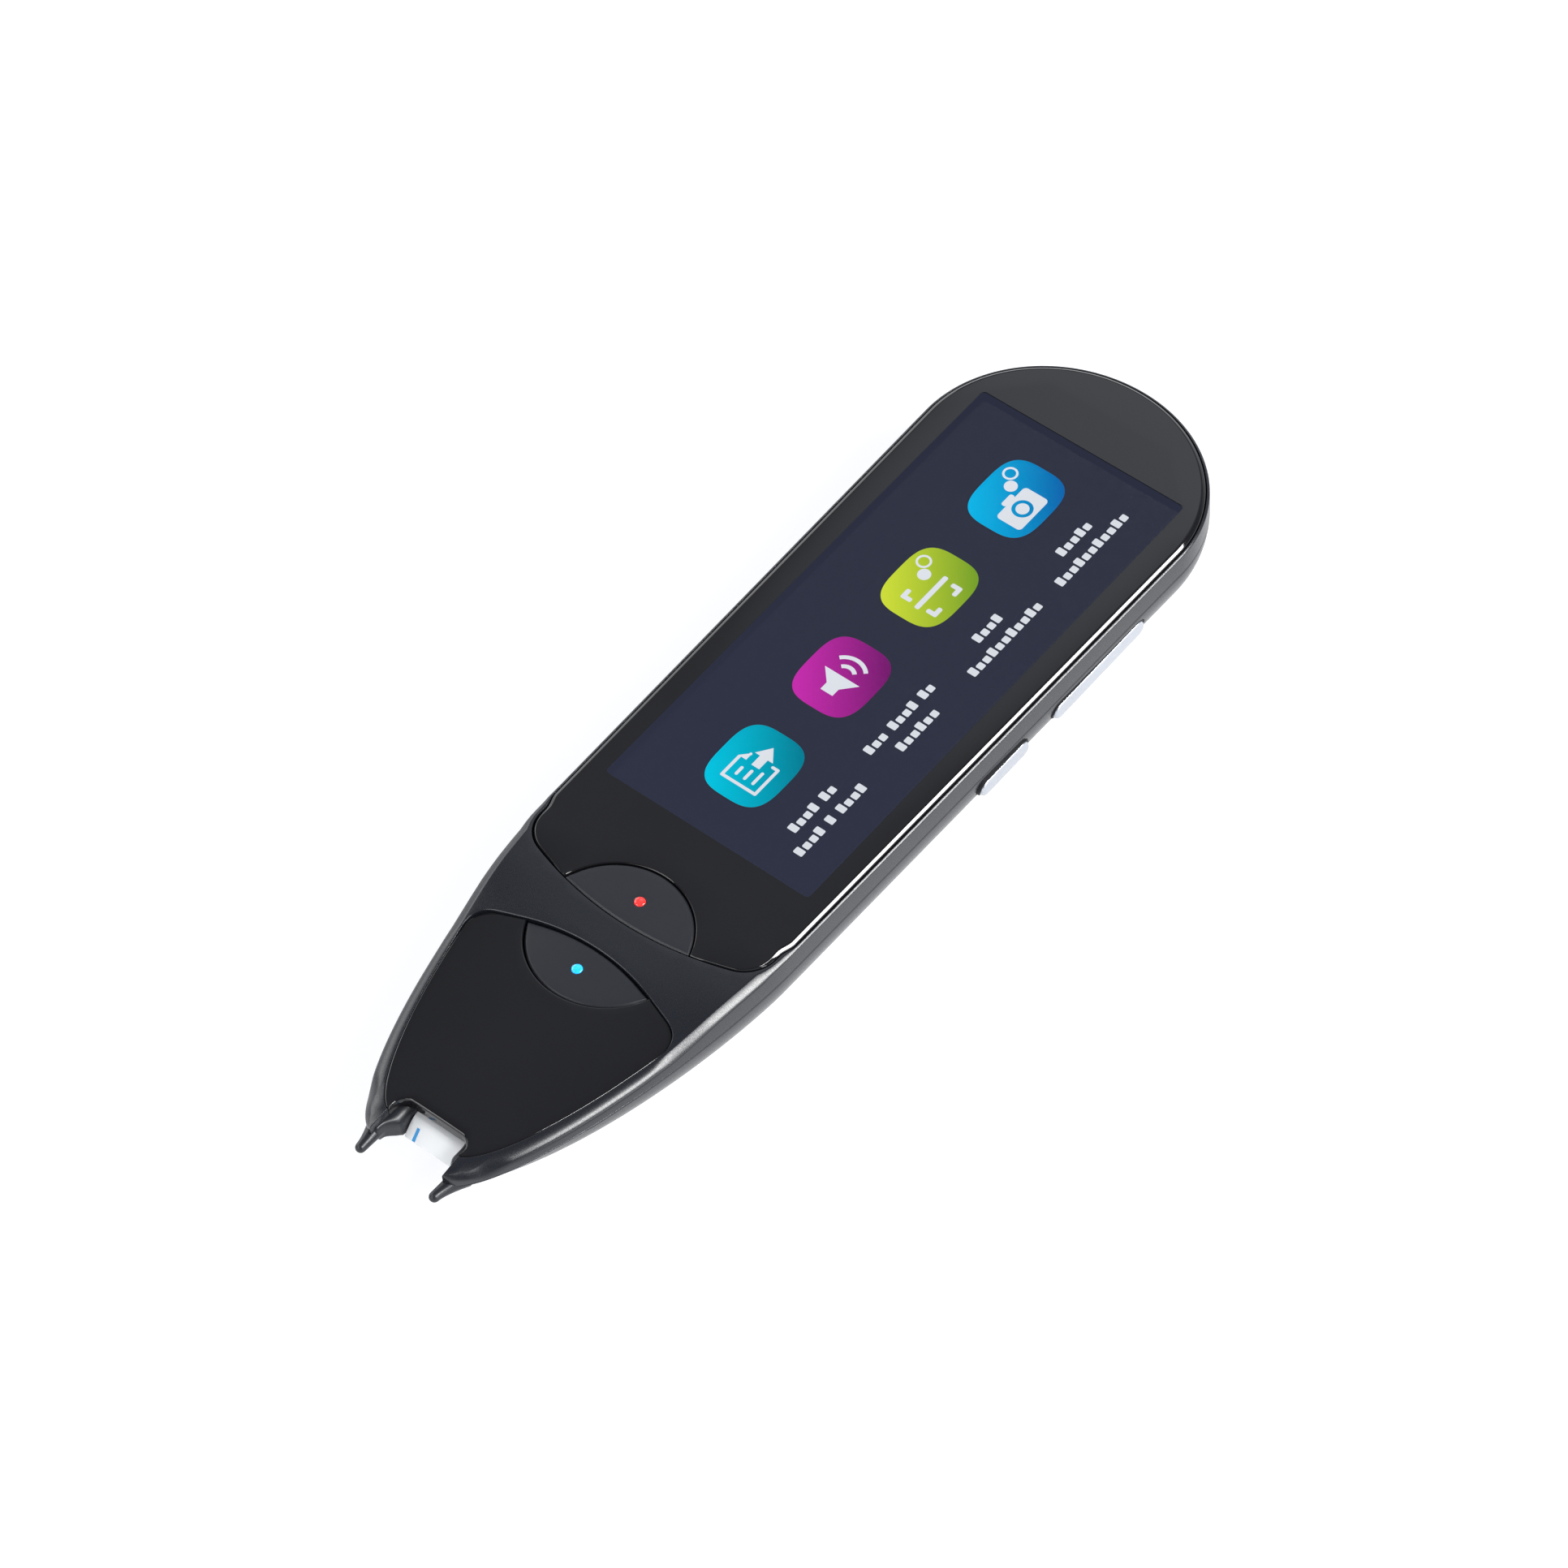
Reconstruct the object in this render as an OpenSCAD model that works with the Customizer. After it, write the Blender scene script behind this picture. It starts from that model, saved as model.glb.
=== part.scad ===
// Scanning pen with a screen, two front keys, a volume rocker and a power key.
// +X is right when the screen faces the reader and the nose points down,
// +Y runs from the nose to the round end and +Z out of the screen.
// The origin lies on the flat back face that the pen rests on. Millimetres.

/* [Housing] */
// Width where the round end starts
body_w = 43.2; // [42:0.2:48]
// Width where the nose starts to narrow
shoulder_w = 41.2; // [39:0.2:47]
// Thickness from the resting face to the glass
body_t = 13; // [12.6:0.1:15]
// Length of the straight sides
side_len = 82; // [80:1:100]
// Length of the round end
end_len = 19.6; // [18:0.1:23]
// Length of the nose from its shoulder to its lobes
nose_len = 51; // [50:0.5:58]
// Place of the nose's shoulder along the pen
shoulder_y = -24; // [-30:1:-20]
// Height of the seam between the shells
seam_z = 9; // [8.6:0.1:9.2]
// Wall thickness
wall = 1.6; // [1.2:0.1:1.8]
// How far the back draws in from the seam to the flat
back_round = 7; // [5:0.5:8]
// Depth of the shell's rim below the glass
rim_drop = 0.5; // [0.3:0.1:0.8]

/* [Nose] */
// Width across the nose at its end
tip_w = 12; // [11:0.5:13]
// Length of the raked underside
bow_rake = 30; // [27:0.5:33]
// How much the raked underside swells half way up
bow_swell = 2.4; // [1.5:0.1:3]
// Crown radius of the nose panel
nose_crown_r = 110; // [90:5:200]
// Slope of the nose panel in degrees
nose_fall = 2.4; // [1.5:0.1:2.8]
// Thickness of the nose panel
panel_t = 1.3; // [1:0.1:1.5]
// Rounding of the shell's edge along the nose
shoulder_r = 1.5; // [1:0.1:2]
// Width of the neck band between the two keys
neck_w = 5; // [4.5:0.1:6]
// Radius of the neck band's lower edge
neck_low_r = 33; // [30:1:45]
// Width of the scanning mouth
mouth_w = 11.6; // [11:0.2:12]
// Depth of the scanning mouth behind the lobes
mouth_len = 6; // [5.6:0.1:6.4]
// Spacing of the two feet
foot_gap = 12.3; // [12:0.1:12.4]
// How far the feet reach past the lobes
foot_reach = 2.7; // [2:0.1:4]
// Radius of a foot's tip
foot_r = 0.75; // [0.6:0.05:0.8]

/* [Glass and display] */
// Thickness of the cover glass
glass_t = 1; // [0.7:0.05:1.2]
// Width of the shell's rim beside the glass
rim_w = 0.55; // [0.4:0.05:0.8]
// Width of the rounded edge of the glass
glass_edge = 0.75; // [0.5:0.05:1]
// Step in the side of the glass above the neck
glass_jog = 0.55; // [0.2:0.05:0.8]
// Corner radius of the glass above the neck
glass_corner = 5; // [4:0.5:7]
// Radius of the lower edge of the glass and of the upper key
neck_r = 49; // [40:1:80]
// Thickness of the adhesive frame under the glass
gasket_t = 0.15; // [0.1:0.05:0.3]
// Thickness of the ledge that carries the glass
ledge_t = 1.25; // [1:0.05:1.4]
// Least frame between the display module and the sides of the housing
display_side = 1.91; // [1.8:0.01:3]
// Frame between the display module and the round end
display_end = 12; // [11.6:0.2:15]
// Thickness of the display module
display_t = 1.7; // [1.4:0.1:1.9]
// Place of the lower edge of the display module
display_y = -20; // [-21:0.5:-19]

/* [Front keys] */
// Radius of the upper key's round edge
upper_key_r = 10.8; // [10:0.1:11.5]
// Height of the upper key
upper_key_h = 8.6; // [8:0.1:9]
// Radius of the lower key's round edge
lower_key_r = 11; // [10:0.1:11.5]
// Height of the lower key
lower_key_h = 8.1; // [7.6:0.1:8.6]
// Travel of a front key
key_travel = 0.4; // [0.2:0.05:0.5]
// Width of the flange that keeps a front key in
key_flange = 0.9; // [0.6:0.1:1]
// Thickness of that flange
key_flange_t = 0.7; // [0.5:0.05:0.8]
// Radius of an indicator's light pipe
lamp_r = 0.92; // [0.7:0.02:1.1]

/* [Side keys] */
// Height of the side keys' centre line
side_key_z = 6.3; // [6:0.1:6.6]
// Width of a side key across the pen's thickness
side_key_h = 2.6; // [2.2:0.1:2.8]
// How far a side key stands proud
side_key_proud = 0.6; // [0.4:0.05:0.8]
// Length of the volume rocker
rocker_len = 19.2; // [17:0.2:20]
// Centre of the volume rocker along the pen
rocker_y = 40; // [39:0.5:41]
// Length of the power key
power_len = 10; // [8:0.2:10.4]
// Centre of the power key along the pen
power_y = 19.7; // [19:0.1:20.4]
// Travel of the power key
power_travel = 0.35; // [0.2:0.05:0.4]
// Radius of the rocker's pivot pin
pin_r = 0.5; // [0.4:0.05:0.6]

/* [Boards and battery] */
// Height of the posts under the main board
post_h = 4.8; // [4.6:0.1:5]
// Thickness of the circuit boards
board_t = 1; // [0.8:0.1:1.1]
// Place of the main board's nose end
board_y0 = -53; // [-54:0.5:-50]
// Place of the main board's other end
board_y1 = 6.5; // [5:0.5:7]
// Radius of a board screw's shank
screw_r = 0.7; // [0.5:0.05:0.8]
// Length of a board screw under its head
screw_len = 4; // [3:0.25:5]
// Height of a key switch
switch_h = 1.5; // [1.2:0.1:1.6]
// Room between the battery and the sides of the housing
battery_side = 8.1; // [7.8:0.1:10]
// Length of the charging board's end of the housing
charge_len = 15.1; // [14.5:0.1:17]
// Thickness of the battery
battery_t = 4.4; // [3.6:0.1:4.6]
// Width of the speaker
speaker_w = 16; // [12:0.5:18]
// Length of the speaker
speaker_len = 12; // [10:0.5:14]
// Thickness of the speaker
speaker_t = 3.2; // [2.6:0.1:3.6]
// Centre of the speaker along the pen
speaker_y = -12; // [-14:0.5:-10]
// Diameter of a speaker hole
grille_d = 1; // [0.8:0.1:1.2]

/* [Scanning camera] */
// Place of the scanning window along the pen
scan_y = -61.5; // [-62:0.1:-61]
// Width of the scanning window
scan_w = 8.2; // [7.6:0.1:8.6]
// Length of the scanning window
scan_len = 6.6; // [6:0.1:7]
// Thickness of the scanning window
scan_t = 0.9; // [0.7:0.05:1]
// Radius of the lens
lens_r = 2.57; // [2:0.01:2.6]
// Width of the white hood
hood_w = 8.2; // [7:0.1:8.4]
// Thickness of the white hood
hood_t = 1.2; // [0.9:0.1:1.3]

/* [Fits] */
// Gap round fixed pieces
fit = 0.1; // [0.05:0.01:0.15]
// Gap round moving keys
key_gap = 0.2; // [0.15:0.01:0.25]
// Gap between a key at the end of its travel and its switch
end_gap = 0.05; // [0.03:0.01:0.1]

/* [Hidden] */
$fn = 64;

shell_grey = [0.19, 0.20, 0.23];
key_grey = [0.21, 0.22, 0.25];
gloss_black = [0.07, 0.07, 0.09];
silver = [0.80, 0.81, 0.83];
board_green = [0.10, 0.32, 0.22];
screen_blue = [0.20, 0.21, 0.27];
hood_white = [0.94, 0.95, 0.96];
mark_blue = [0.05, 0.50, 0.72];
lamp_red = [0.90, 0.25, 0.25];
lamp_blue = [0.25, 0.70, 0.92];
clear_grey = [0.75, 0.80, 0.82, 0.5];
lens_blue = [0.30, 0.32, 0.45];
battery_silver = [0.72, 0.74, 0.76];
matt_black = [0.14, 0.14, 0.15];
flex_amber = [0.85, 0.55, 0.15];

// How far cuts run past a face, how far joined shapes run together, and finer circles
over = 1;
sink = 0.1;
key_fn = 128;
arc_fn = 256;
foot_fn = 32;

// Shape of the nose in plan, and of the raked underside in profile
nose_fullness = 1.5;
nose_roundness = 0.6;
nose_spacing = 1.7;
bow_power = 1.6;
nose_steps = 16;
end_steps = 16;
corner_steps = 6;

// Angles and insets of the rings that the shells are lofted through
shoulder_angles = [0, 20, 40, 60, 75, 90];
deck_insets = [6, 11, 15.5];
deck_draw = 1.8;
back_angles = [90, 80, 68, 55, 42, 30, 18, 8, 0];
cavity_angles = [0, 18, 36, 54, 72, 90];

// Places along the pen
round_y = shoulder_y + side_len;
nose_y = shoulder_y - nose_len;
apex_y = round_y + end_len;
mouth_y = nose_y + mouth_len;
upper_key_y = shoulder_y;
neck_top_y = upper_key_y - upper_key_h;
neck_y = neck_top_y - neck_w;
lower_key_y = neck_y - key_gap;

// Widths and lengths of what fills the housing
inner_w = min(body_w, shoulder_w);
display_y1 = apex_y - display_end;
display_len = display_y1 - display_y;
end_side = body_w / 2 * sqrt(1 - pow((display_y1 - round_y) / end_len, 2));
display_w = 2 * (min(shoulder_w / 2, end_side) - display_side);
battery_w = inner_w - 2 * battery_side;
battery_gap = 2.5;
battery_y0 = board_y1 + battery_gap;
charge_y0 = apex_y - charge_len;
charge_gap = 1.5;
battery_y1 = charge_y0 - charge_gap;
battery_len = battery_y1 - battery_y0;

// Where the rim rises into the deck, and the edge and the crown are full
rise_len = 4;
deck_len = 6;
edge_len = 10;
crown_len = 12;
rise_y = shoulder_y + rise_len;
deck_y = shoulder_y - deck_len;
edge_y = shoulder_y - edge_len;
crown_y = neck_y - crown_len;

// Heights, from the glass down
glass_z = body_t - glass_t;
ledge_z = glass_z - gasket_t;
roof_z = ledge_z - ledge_t;
display_z = glass_z - display_t;
rim_z = body_t - rim_drop;
deck_drop = 0.1;
deck_top = body_t - deck_drop;
panel_drop = 0.3;
panel_z = body_t - panel_drop;
panel_lip = 1.3;
panel_margin = 1.4;
panel_rise = 0.9;
panel_seat_z = seam_z + panel_rise;

// Heights, from the floor up
floor_z = wall;
board_z = floor_z + post_h;
board_top = board_z + board_t;
switch_top = board_top + switch_h;
flange_top = roof_z - end_gap;
flange_z = flange_top - key_flange_t;
plunger_z = switch_top + key_travel + end_gap;
tape_t = 0.2;
battery_z = floor_z + tape_t;

// A share from 0 to 1 that eases from a to b
function ease(a, b, v) = let (s = min(max((v - a) / (b - a), 0), 1)) s * s * (3 - 2 * s);

// Right half of the plan outline from the nose to the apex, drawn in by inset
function half_outline(inset, nose_end, tip) = concat(
    [for (i = [nose_steps : -1 : 0])
        let (u = 1 - pow(1 - i / nose_steps, nose_spacing), ws = shoulder_w / 2 - inset)
        [tip + (ws - tip) * pow(1 - pow(u, nose_fullness), nose_roundness),
            shoulder_y - u * (shoulder_y - nose_end)]],
    [for (i = [0 : end_steps - 1])
        let (a = 90 * i / end_steps)
        [(body_w / 2 - inset) * cos(a), round_y + (end_len - inset) * sin(a)]]);

// Whole outline from its right half and its apex
function whole(half, top) = concat(half, [[0, top]],
    [for (i = [len(half) - 1 : -1 : 0]) [-half[i][0], half[i][1]]]);

function outline(inset, nose_end = nose_y, tip = tip_w / 2) =
    whole(half_outline(inset, nose_end, tip), apex_y - inset);

function flat_ring(points, z) = [for (p = points) [p[0], p[1], z]];

// Outward unit normal of a half outline at point i
function normal_at(half, i) =
    let (a = half[max(i - 1, 0)], b = half[min(i + 1, len(half) - 1)], t = (b - a) / norm(b - a))
    [t[1], -t[0]];

// Height of the raked underside at a place along the pen, and the place at a height
function bow_z(y) = seam_z * pow(1 - (y - nose_y) / bow_rake, bow_power);
function bow_y(z) = nose_y + bow_rake * (1 - pow(z / seam_z, 1 / bow_power));
function bow_tip(z) =
    let (r = (bow_y(z) - nose_y) / bow_rake)
    tip_w / 2 + bow_swell * 4 * r * (1 - r);

// Height of the front shell's deck, level at the rim and neck and crowned on the nose
function deck_z(x, y) =
    rim_z + (deck_top - rim_z) * ease(rise_y, deck_y, y)
    - ease(neck_top_y, crown_y, y) * x * x / (2 * nose_crown_r)
    - max(0, neck_y - y) * tan(nose_fall);

function edge_r(y) = rim_drop + (shoulder_r - rim_drop) * ease(rise_y, edge_y, y);

// Ring of the front shell's rounded shoulder at an angle of its rounding
function shoulder_ring(angle) =
    let (half = half_outline(0, nose_y, tip_w / 2),
        drawn = [for (i = [0 : len(half) - 1])
            half[i] - edge_r(half[i][1]) * (1 - cos(angle)) * normal_at(half, i)])
    [for (p = whole(drawn, apex_y - rim_drop * (1 - cos(angle))))
        [p[0], p[1], deck_z(p[0], p[1]) - edge_r(p[1]) * (1 - sin(angle))]];

function deck_ring(inset) =
    [for (p = outline(inset, nose_y + inset / 2, tip_w / 2 * (1 - inset / shoulder_w * deck_draw)))
        [p[0], p[1], deck_z(p[0], p[1])]];

// Solid through a list of rings that mirror left to right about their middle point
module loft(rings) {
    n = len(rings[0]);
    m = floor(n / 2);
    top = (len(rings) - 1) * n;
    sides = [for (k = [0 : len(rings) - 2]) for (i = [0 : n - 1])
        let (a = k * n, b = a + n, j = (i + 1) % n)
        each [[a + i, b + i, b + j], [a + i, b + j, a + j]]];
    ladder = concat([for (i = [0 : m - 2])
        each [[i, i + 1, n - 2 - i], [i, n - 2 - i, n - 1 - i]]], [[m - 1, m, m + 1]]);
    lid = [for (f = ladder) [f[2] + top, f[1] + top, f[0] + top]];
    polyhedron([for (r = rings) each r], concat(ladder, sides, lid));
}

// Plan shape raised from one height to another
module slab(z0, z1) translate([0, 0, z0]) linear_extrude(z1 - z0) children();

// Side profile, drawn as (y, z), carried from one x to another
module across(x0, x1) translate([x0, 0, 0]) rotate([90, 0, 90]) linear_extrude(x1 - x0) children();

// End profile, drawn as (x, z), carried from one y to another
module along(y0, y1) translate([0, y1, 0]) rotate([90, 0, 0]) linear_extrude(y1 - y0) children();

module block(x, y, z) translate([x[0], y[0], z[0]]) cube([x[1] - x[0], y[1] - y[0], z[1] - z[0]]);

module disc(r, x, y, z0, z1) translate([x, y, z0]) cylinder(r = r, h = z1 - z0);

// Rectangle with true round corners, about its centre
module rounded(w, l, r) {
    square([w - 2 * r, l], center = true);
    square([w, l - 2 * r], center = true);
    for (x = [-1, 1], y = [-1, 1]) translate([x * (w / 2 - r), y * (l / 2 - r)]) circle(r);
}

// Rectangle with half-round ends; the straight ends it keeps are too short to see
end_flat = 0.02;

module pill(w, h) rounded(w, h, (h - end_flat) / 2);

module mirrored() {
    children();
    mirror([1, 0, 0]) children();
}

// Lens shapes of the two keys, grown by a gap
module upper_key_plan(grow) intersection() {
    translate([0, upper_key_y - upper_key_r]) circle(upper_key_r + grow, $fn = key_fn);
    translate([0, neck_top_y + neck_r]) circle(neck_r + grow, $fn = arc_fn);
}

module lower_key_plan(grow) intersection() {
    translate([0, lower_key_y - lower_key_h + lower_key_r]) circle(lower_key_r + grow, $fn = key_fn);
    translate([0, neck_y - neck_low_r]) circle(neck_low_r - key_gap + grow, $fn = arc_fn);
}

// Everything under the crowned, falling surface of the nose, lowered by drop
module under_crown(drop)
    translate([0, neck_y, panel_z - drop])
        rotate([nose_fall, 0, 0])
            translate([0, 0, -nose_crown_r])
                rotate([90, 0, 0])
                    cylinder(r = nose_crown_r, h = 4 * nose_len, center = true, $fn = arc_fn);

module nose_panel_plan(inset) intersection() {
    polygon(outline(panel_margin + inset, nose_y + panel_margin + inset));
    translate([0, neck_y - neck_low_r]) circle(neck_low_r - fit - inset, $fn = arc_fn);
}

mouth_corner = 1.7;

module mouth_plan(grow)
    translate([0, mouth_y + grow - mouth_len])
        rounded(mouth_w + 2 * grow, 2 * mouth_len, mouth_corner);

// Right half of the glass outline, drawn in by inset
jog_rise = 2;
corner_share = 0.7;

function glass_half(inset) =
    let (side = shoulder_w / 2 - rim_w - glass_jog - inset,
        low = neck_top_y + inset,
        r = glass_corner,
        n = corner_steps,
        lean = atan((side - r * corner_share) / neck_r),
        cx = side - r,
        foot_x = cx + r * sin(lean),
        cy = low + foot_x * foot_x / (2 * neck_r) + r * cos(lean))
    concat(
        [for (i = [1 : n]) let (x = foot_x * i / (n + 1)) [x, low + x * x / (2 * neck_r)]],
        [for (i = [0 : n]) let (a = -90 + lean + (90 - lean) * i / n) [cx + r * cos(a), cy + r * sin(a)]],
        [[side + glass_jog, shoulder_y + jog_rise]],
        [for (i = [0 : end_steps - 1])
            let (a = 90 * i / end_steps)
            [(body_w / 2 - rim_w - inset) * cos(a), round_y + (end_len - rim_w - inset) * sin(a)]]);

function glass_outline(inset) = whole(glass_half(inset), apex_y - rim_w - inset);

// Housing

function front_rings() = concat(
    [flat_ring(outline(0), seam_z)],
    [for (angle = shoulder_angles) shoulder_ring(angle)],
    [for (inset = deck_insets) deck_ring(inset)]);

// Lining of the scanning mouth, and the flange behind its feet
lining_t = 0.4;
lining_depth = 2.6;
lining_back_t = 1.2;
lining_x = mouth_w / 2 + lining_t;
lining_y = mouth_y + lining_depth;
hood_reach = 2.4;
lip_y = mouth_y - hood_reach;
lip_drop = 1.1;
lip_z = bow_z(lip_y) - lip_drop;
foot_root_r = 0.95;
flange_edge = 0.15;
flange_x = foot_gap / 2 + foot_root_r + flange_edge;
flange_lap = 0.4;
flange_y1 = lip_y + flange_lap;

module mouth_room() {
    block([-lining_x - fit / 2, lining_x + fit / 2], [nose_y - over, lining_y + fit / 2],
        [-over, body_t + over]);
    block([-flange_x - fit / 2, flange_x + fit / 2], [nose_y - over, flange_y1 + fit / 2],
        [-over, panel_seat_z]);
}

module front_shell() color(shell_grey) difference() {
    loft(front_rings());
    slab(seam_z - over, roof_z) intersection() {
        polygon(outline(wall));
        translate([-body_w, neck_y]) square([2 * body_w, 2 * side_len]);
    }
    slab(ledge_z, body_t + over) polygon(glass_outline(-fit));
    block([-display_w / 2 - fit, display_w / 2 + fit],
        [display_y - fit, display_y + display_len + fit], [seam_z, body_t]);
    slab(seam_z - over, body_t + over) upper_key_plan(key_gap);
    slab(seam_z - over, roof_z) lower_key_plan(key_flange + key_gap);
    slab(panel_seat_z, body_t + over) nose_panel_plan(-fit);
    slab(seam_z - over, body_t + over) nose_panel_plan(panel_lip);
    mouth_room();
}

// Ring of the back shell at an angle of its rounding, from 0 at the seam to 90 at the flat
function back_ring(angle, thick) =
    let (z = seam_z - (seam_z - thick) * sin(angle),
        zo = max(z - thick * sin(angle), 0))
    flat_ring(outline(thick + back_round * (1 - cos(angle)),
        bow_y(zo) + thick * 2, bow_tip(zo) - thick), z);

function back_rings() = concat(
    [for (angle = back_angles) back_ring(angle, 0)],
    [for (angle = cavity_angles) back_ring(angle, wall)]);

// Posts, screws and the openings at the round end
post_side = 7.1;
post_x = inner_w / 2 - post_side;
post_inset = 3.5;
nose_post_side = 11.1;
nose_post_x = inner_w / 2 - nose_post_side;
nose_post_in = 9;
nose_post_y = board_y0 + nose_post_in;
post_places = [[post_x, board_y1 - post_inset], [-post_x, board_y1 - post_inset],
    [nose_post_x, nose_post_y], [-nose_post_x, nose_post_y]];
post_wall = 1.1;
post_r = screw_r + post_wall;
post_root = 0.5;
screw_play = 0.02;
charge_post_h = 1;
charge_z = floor_z + charge_post_h;
charge_top = charge_z + board_t;
charge_post_side = 11.6;
charge_post_x = body_w / 2 - charge_post_side;
charge_post_in = 2;
charge_posts = [[charge_post_x, charge_y0 + charge_post_in], [-charge_post_x, charge_y0 + charge_post_in]];
usb_w = 8.94;
usb_h = 3.2;
usb_len = 7.4;
usb_back = 1.7;
usb_room = 0.15;
usb_z = charge_top + usb_h / 2;
usb_y1 = apex_y - usb_back;
hole_len = 9;
mic_side = 3;
mic_x = charge_post_x - mic_side;
mic_hole_up = 0.55;
mic_hole_z = charge_top + mic_hole_up;

// Side keys: their flanges lie inside the wall, the pivot behind the flange
function side_at(y) = (shoulder_w + (body_w - shoulder_w) * (y - shoulder_y) / side_len) / 2;
side_x = side_at((rocker_y + power_y) / 2);
side_draw = 0.3;
key_face_x = side_x - side_draw + side_key_proud;
key_flange_in = 4;
key_flange_x = side_x - key_flange_in;
side_flange_t = 0.8;
side_inner_x = key_flange_x - side_flange_t;
pivot_in = 0.4;
pivot_x = side_inner_x - pivot_in;
hub_wall = 0.7;
hub_r = pin_r + hub_wall;
hub_half = 1.3;
hub_z0 = side_key_z - hub_half;
hub_z1 = side_key_z + hub_half;
pin_gap = 0.05;
side_flange_len = 1.6;
side_flange_h = 1.2;
side_flange_round = 1;
pin_post_z = side_key_z - (side_key_h + side_flange_h) / 2 - 2 * fit;
pin_seat = 1.8;
pin_z = pin_post_z - pin_seat;

module side_key_slot(y, len)
    translate([0, y, side_key_z])
        across(key_flange_x - over, side_x + 2 * over) pill(len + 2 * key_gap, side_key_h + 2 * key_gap);

// Rails that hold the side board on edge
side_board_gap = 1.2;
side_board_x = battery_w / 2 + side_board_gap;
side_board_t = 0.6;
side_switch_x = side_board_x + side_board_t;
side_board_low = 4;
side_board_high = 9;
side_board_y0 = power_y - side_board_low;
side_board_y1 = rocker_y + side_board_high;
side_board_lift = 0.6;
side_board_z = floor_z + side_board_lift;
rail_wall = 0.6;
rail_len = 2;
rail_h = 2;

module rail(y) block([side_board_x - rail_wall, side_switch_x + rail_wall],
    [y - rail_len / 2, y + rail_len / 2], [floor_z - post_root, floor_z + rail_h]);

// Seat of the scanning window in the raked underside, with its own axes
scan_tilt = atan(seam_z * bow_power / bow_rake * pow(1 - (scan_y - nose_y) / bow_rake, bow_power - 1));
scan_pad = 1;
scan_pad_x = 6.5;
scan_pad_y = 5;
scan_rim = 0.6;
holder_h = 2.4;
holder_x = 5.5;
holder_y = 4.2;
holder_top = scan_pad + holder_h;

module at_scan()
    translate([0, scan_y + scan_t * sin(scan_tilt), bow_z(scan_y) + scan_t * cos(scan_tilt)])
        rotate([-scan_tilt, 0, 0])
            children();

grille_pitch = 2.4;

module grille_holes()
    for (i = [-2 : 2], j = [-1 : 1])
        disc(grille_d / 2, i * grille_pitch, speaker_y + j * grille_pitch, -over, floor_z + over);

module back_shell() color(shell_grey) difference() {
    union() {
        loft(back_rings());
        for (p = post_places) disc(post_r, p[0], p[1], floor_z - post_root, board_z);
        for (p = charge_posts) disc(post_r, p[0], p[1], floor_z - post_root, charge_z);
        block([pivot_x - hub_r, pivot_x + hub_r], [rocker_y - hub_r, rocker_y + hub_r],
            [floor_z - post_root, pin_post_z]);
        rail(side_board_y0);
        rail(side_board_y1);
        at_scan() block([-scan_pad_x, scan_pad_x], [-scan_pad_y, scan_pad_y], [sink, scan_pad]);
    }
    for (p = post_places) disc(screw_r + screw_play, p[0], p[1], board_z - screw_len, board_z + over);
    for (p = charge_posts) disc(screw_r + screw_play, p[0], p[1], floor_z - post_root, charge_z + over);
    disc(pin_r + screw_play, pivot_x, rocker_y, pin_z, hub_z0);
    block([side_board_x, side_switch_x], [side_board_y0, side_board_y1], [side_board_z, seam_z]);
    side_key_slot(rocker_y, rocker_len);
    side_key_slot(power_y, power_len);
    translate([0, 0, usb_z]) along(usb_y1 - usb_len, apex_y + over)
        pill(usb_w + 2 * usb_room, usb_h + 2 * usb_room);
    translate([mic_x, apex_y + over, mic_hole_z]) rotate([90, 0, 0]) cylinder(d = grille_d, h = hole_len);
    grille_holes();
    mouth_room();
    at_scan() {
        block([-scan_w / 2 - fit / 2, scan_w / 2 + fit / 2],
            [-scan_len / 2 - fit / 2, scan_len / 2 + fit / 2], [-3 * over, 0]);
        block([-scan_w / 2 + scan_rim, scan_w / 2 - scan_rim],
            [-scan_len / 2 + scan_rim, scan_len / 2 - scan_rim], [-over, 2 * over]);
        block([-holder_x - fit, holder_x + fit], [-holder_y - fit, holder_y + fit],
            [scan_pad, holder_top + over]);
    }
}

// Front

// Rounded edge of the glass: how far in, as a share of its width, and how far down
edge_curve = [[0, 0.55], [0.1, 0.35], [0.4, 0.13], [1, 0]];

module front_glass() color(gloss_black) difference() {
    loft(concat([flat_ring(glass_outline(0), glass_z)],
        [for (e = edge_curve) flat_ring(glass_outline(glass_edge * e[0]), body_t - glass_t * e[1])]));
    slab(glass_z - over, body_t + over) upper_key_plan(key_gap);
}

gasket_in = 0.2;
gasket_room = 0.3;

module glass_gasket() color("dimgray") slab(ledge_z, glass_z) difference() {
    polygon(glass_outline(gasket_in));
    translate([-display_w / 2 - gasket_room, display_y - gasket_room])
        square([display_w + 2 * gasket_room, display_len + 2 * gasket_room]);
    upper_key_plan(key_gap + gasket_room);
}

display_corner = 1;

module display_panel() color(screen_blue)
    slab(display_z, glass_z)
        translate([0, display_y + display_len / 2])
            rounded(display_w, display_len, display_corner);

module nose_panel() color(gloss_black) difference() {
    intersection() {
        slab(panel_seat_z, body_t + over) nose_panel_plan(0);
        under_crown(0);
    }
    intersection() {
        slab(panel_seat_z - over, body_t + over) difference() {
            nose_panel_plan(panel_lip);
            mouth_plan(panel_lip);
        }
        under_crown(panel_t);
    }
    slab(panel_seat_z - over, body_t + over) lower_key_plan(key_gap);
    slab(panel_seat_z - over, roof_z) lower_key_plan(key_flange + key_gap);
    slab(panel_seat_z - over, body_t + over) mouth_plan(0);
}

// Scanning mouth

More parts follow.
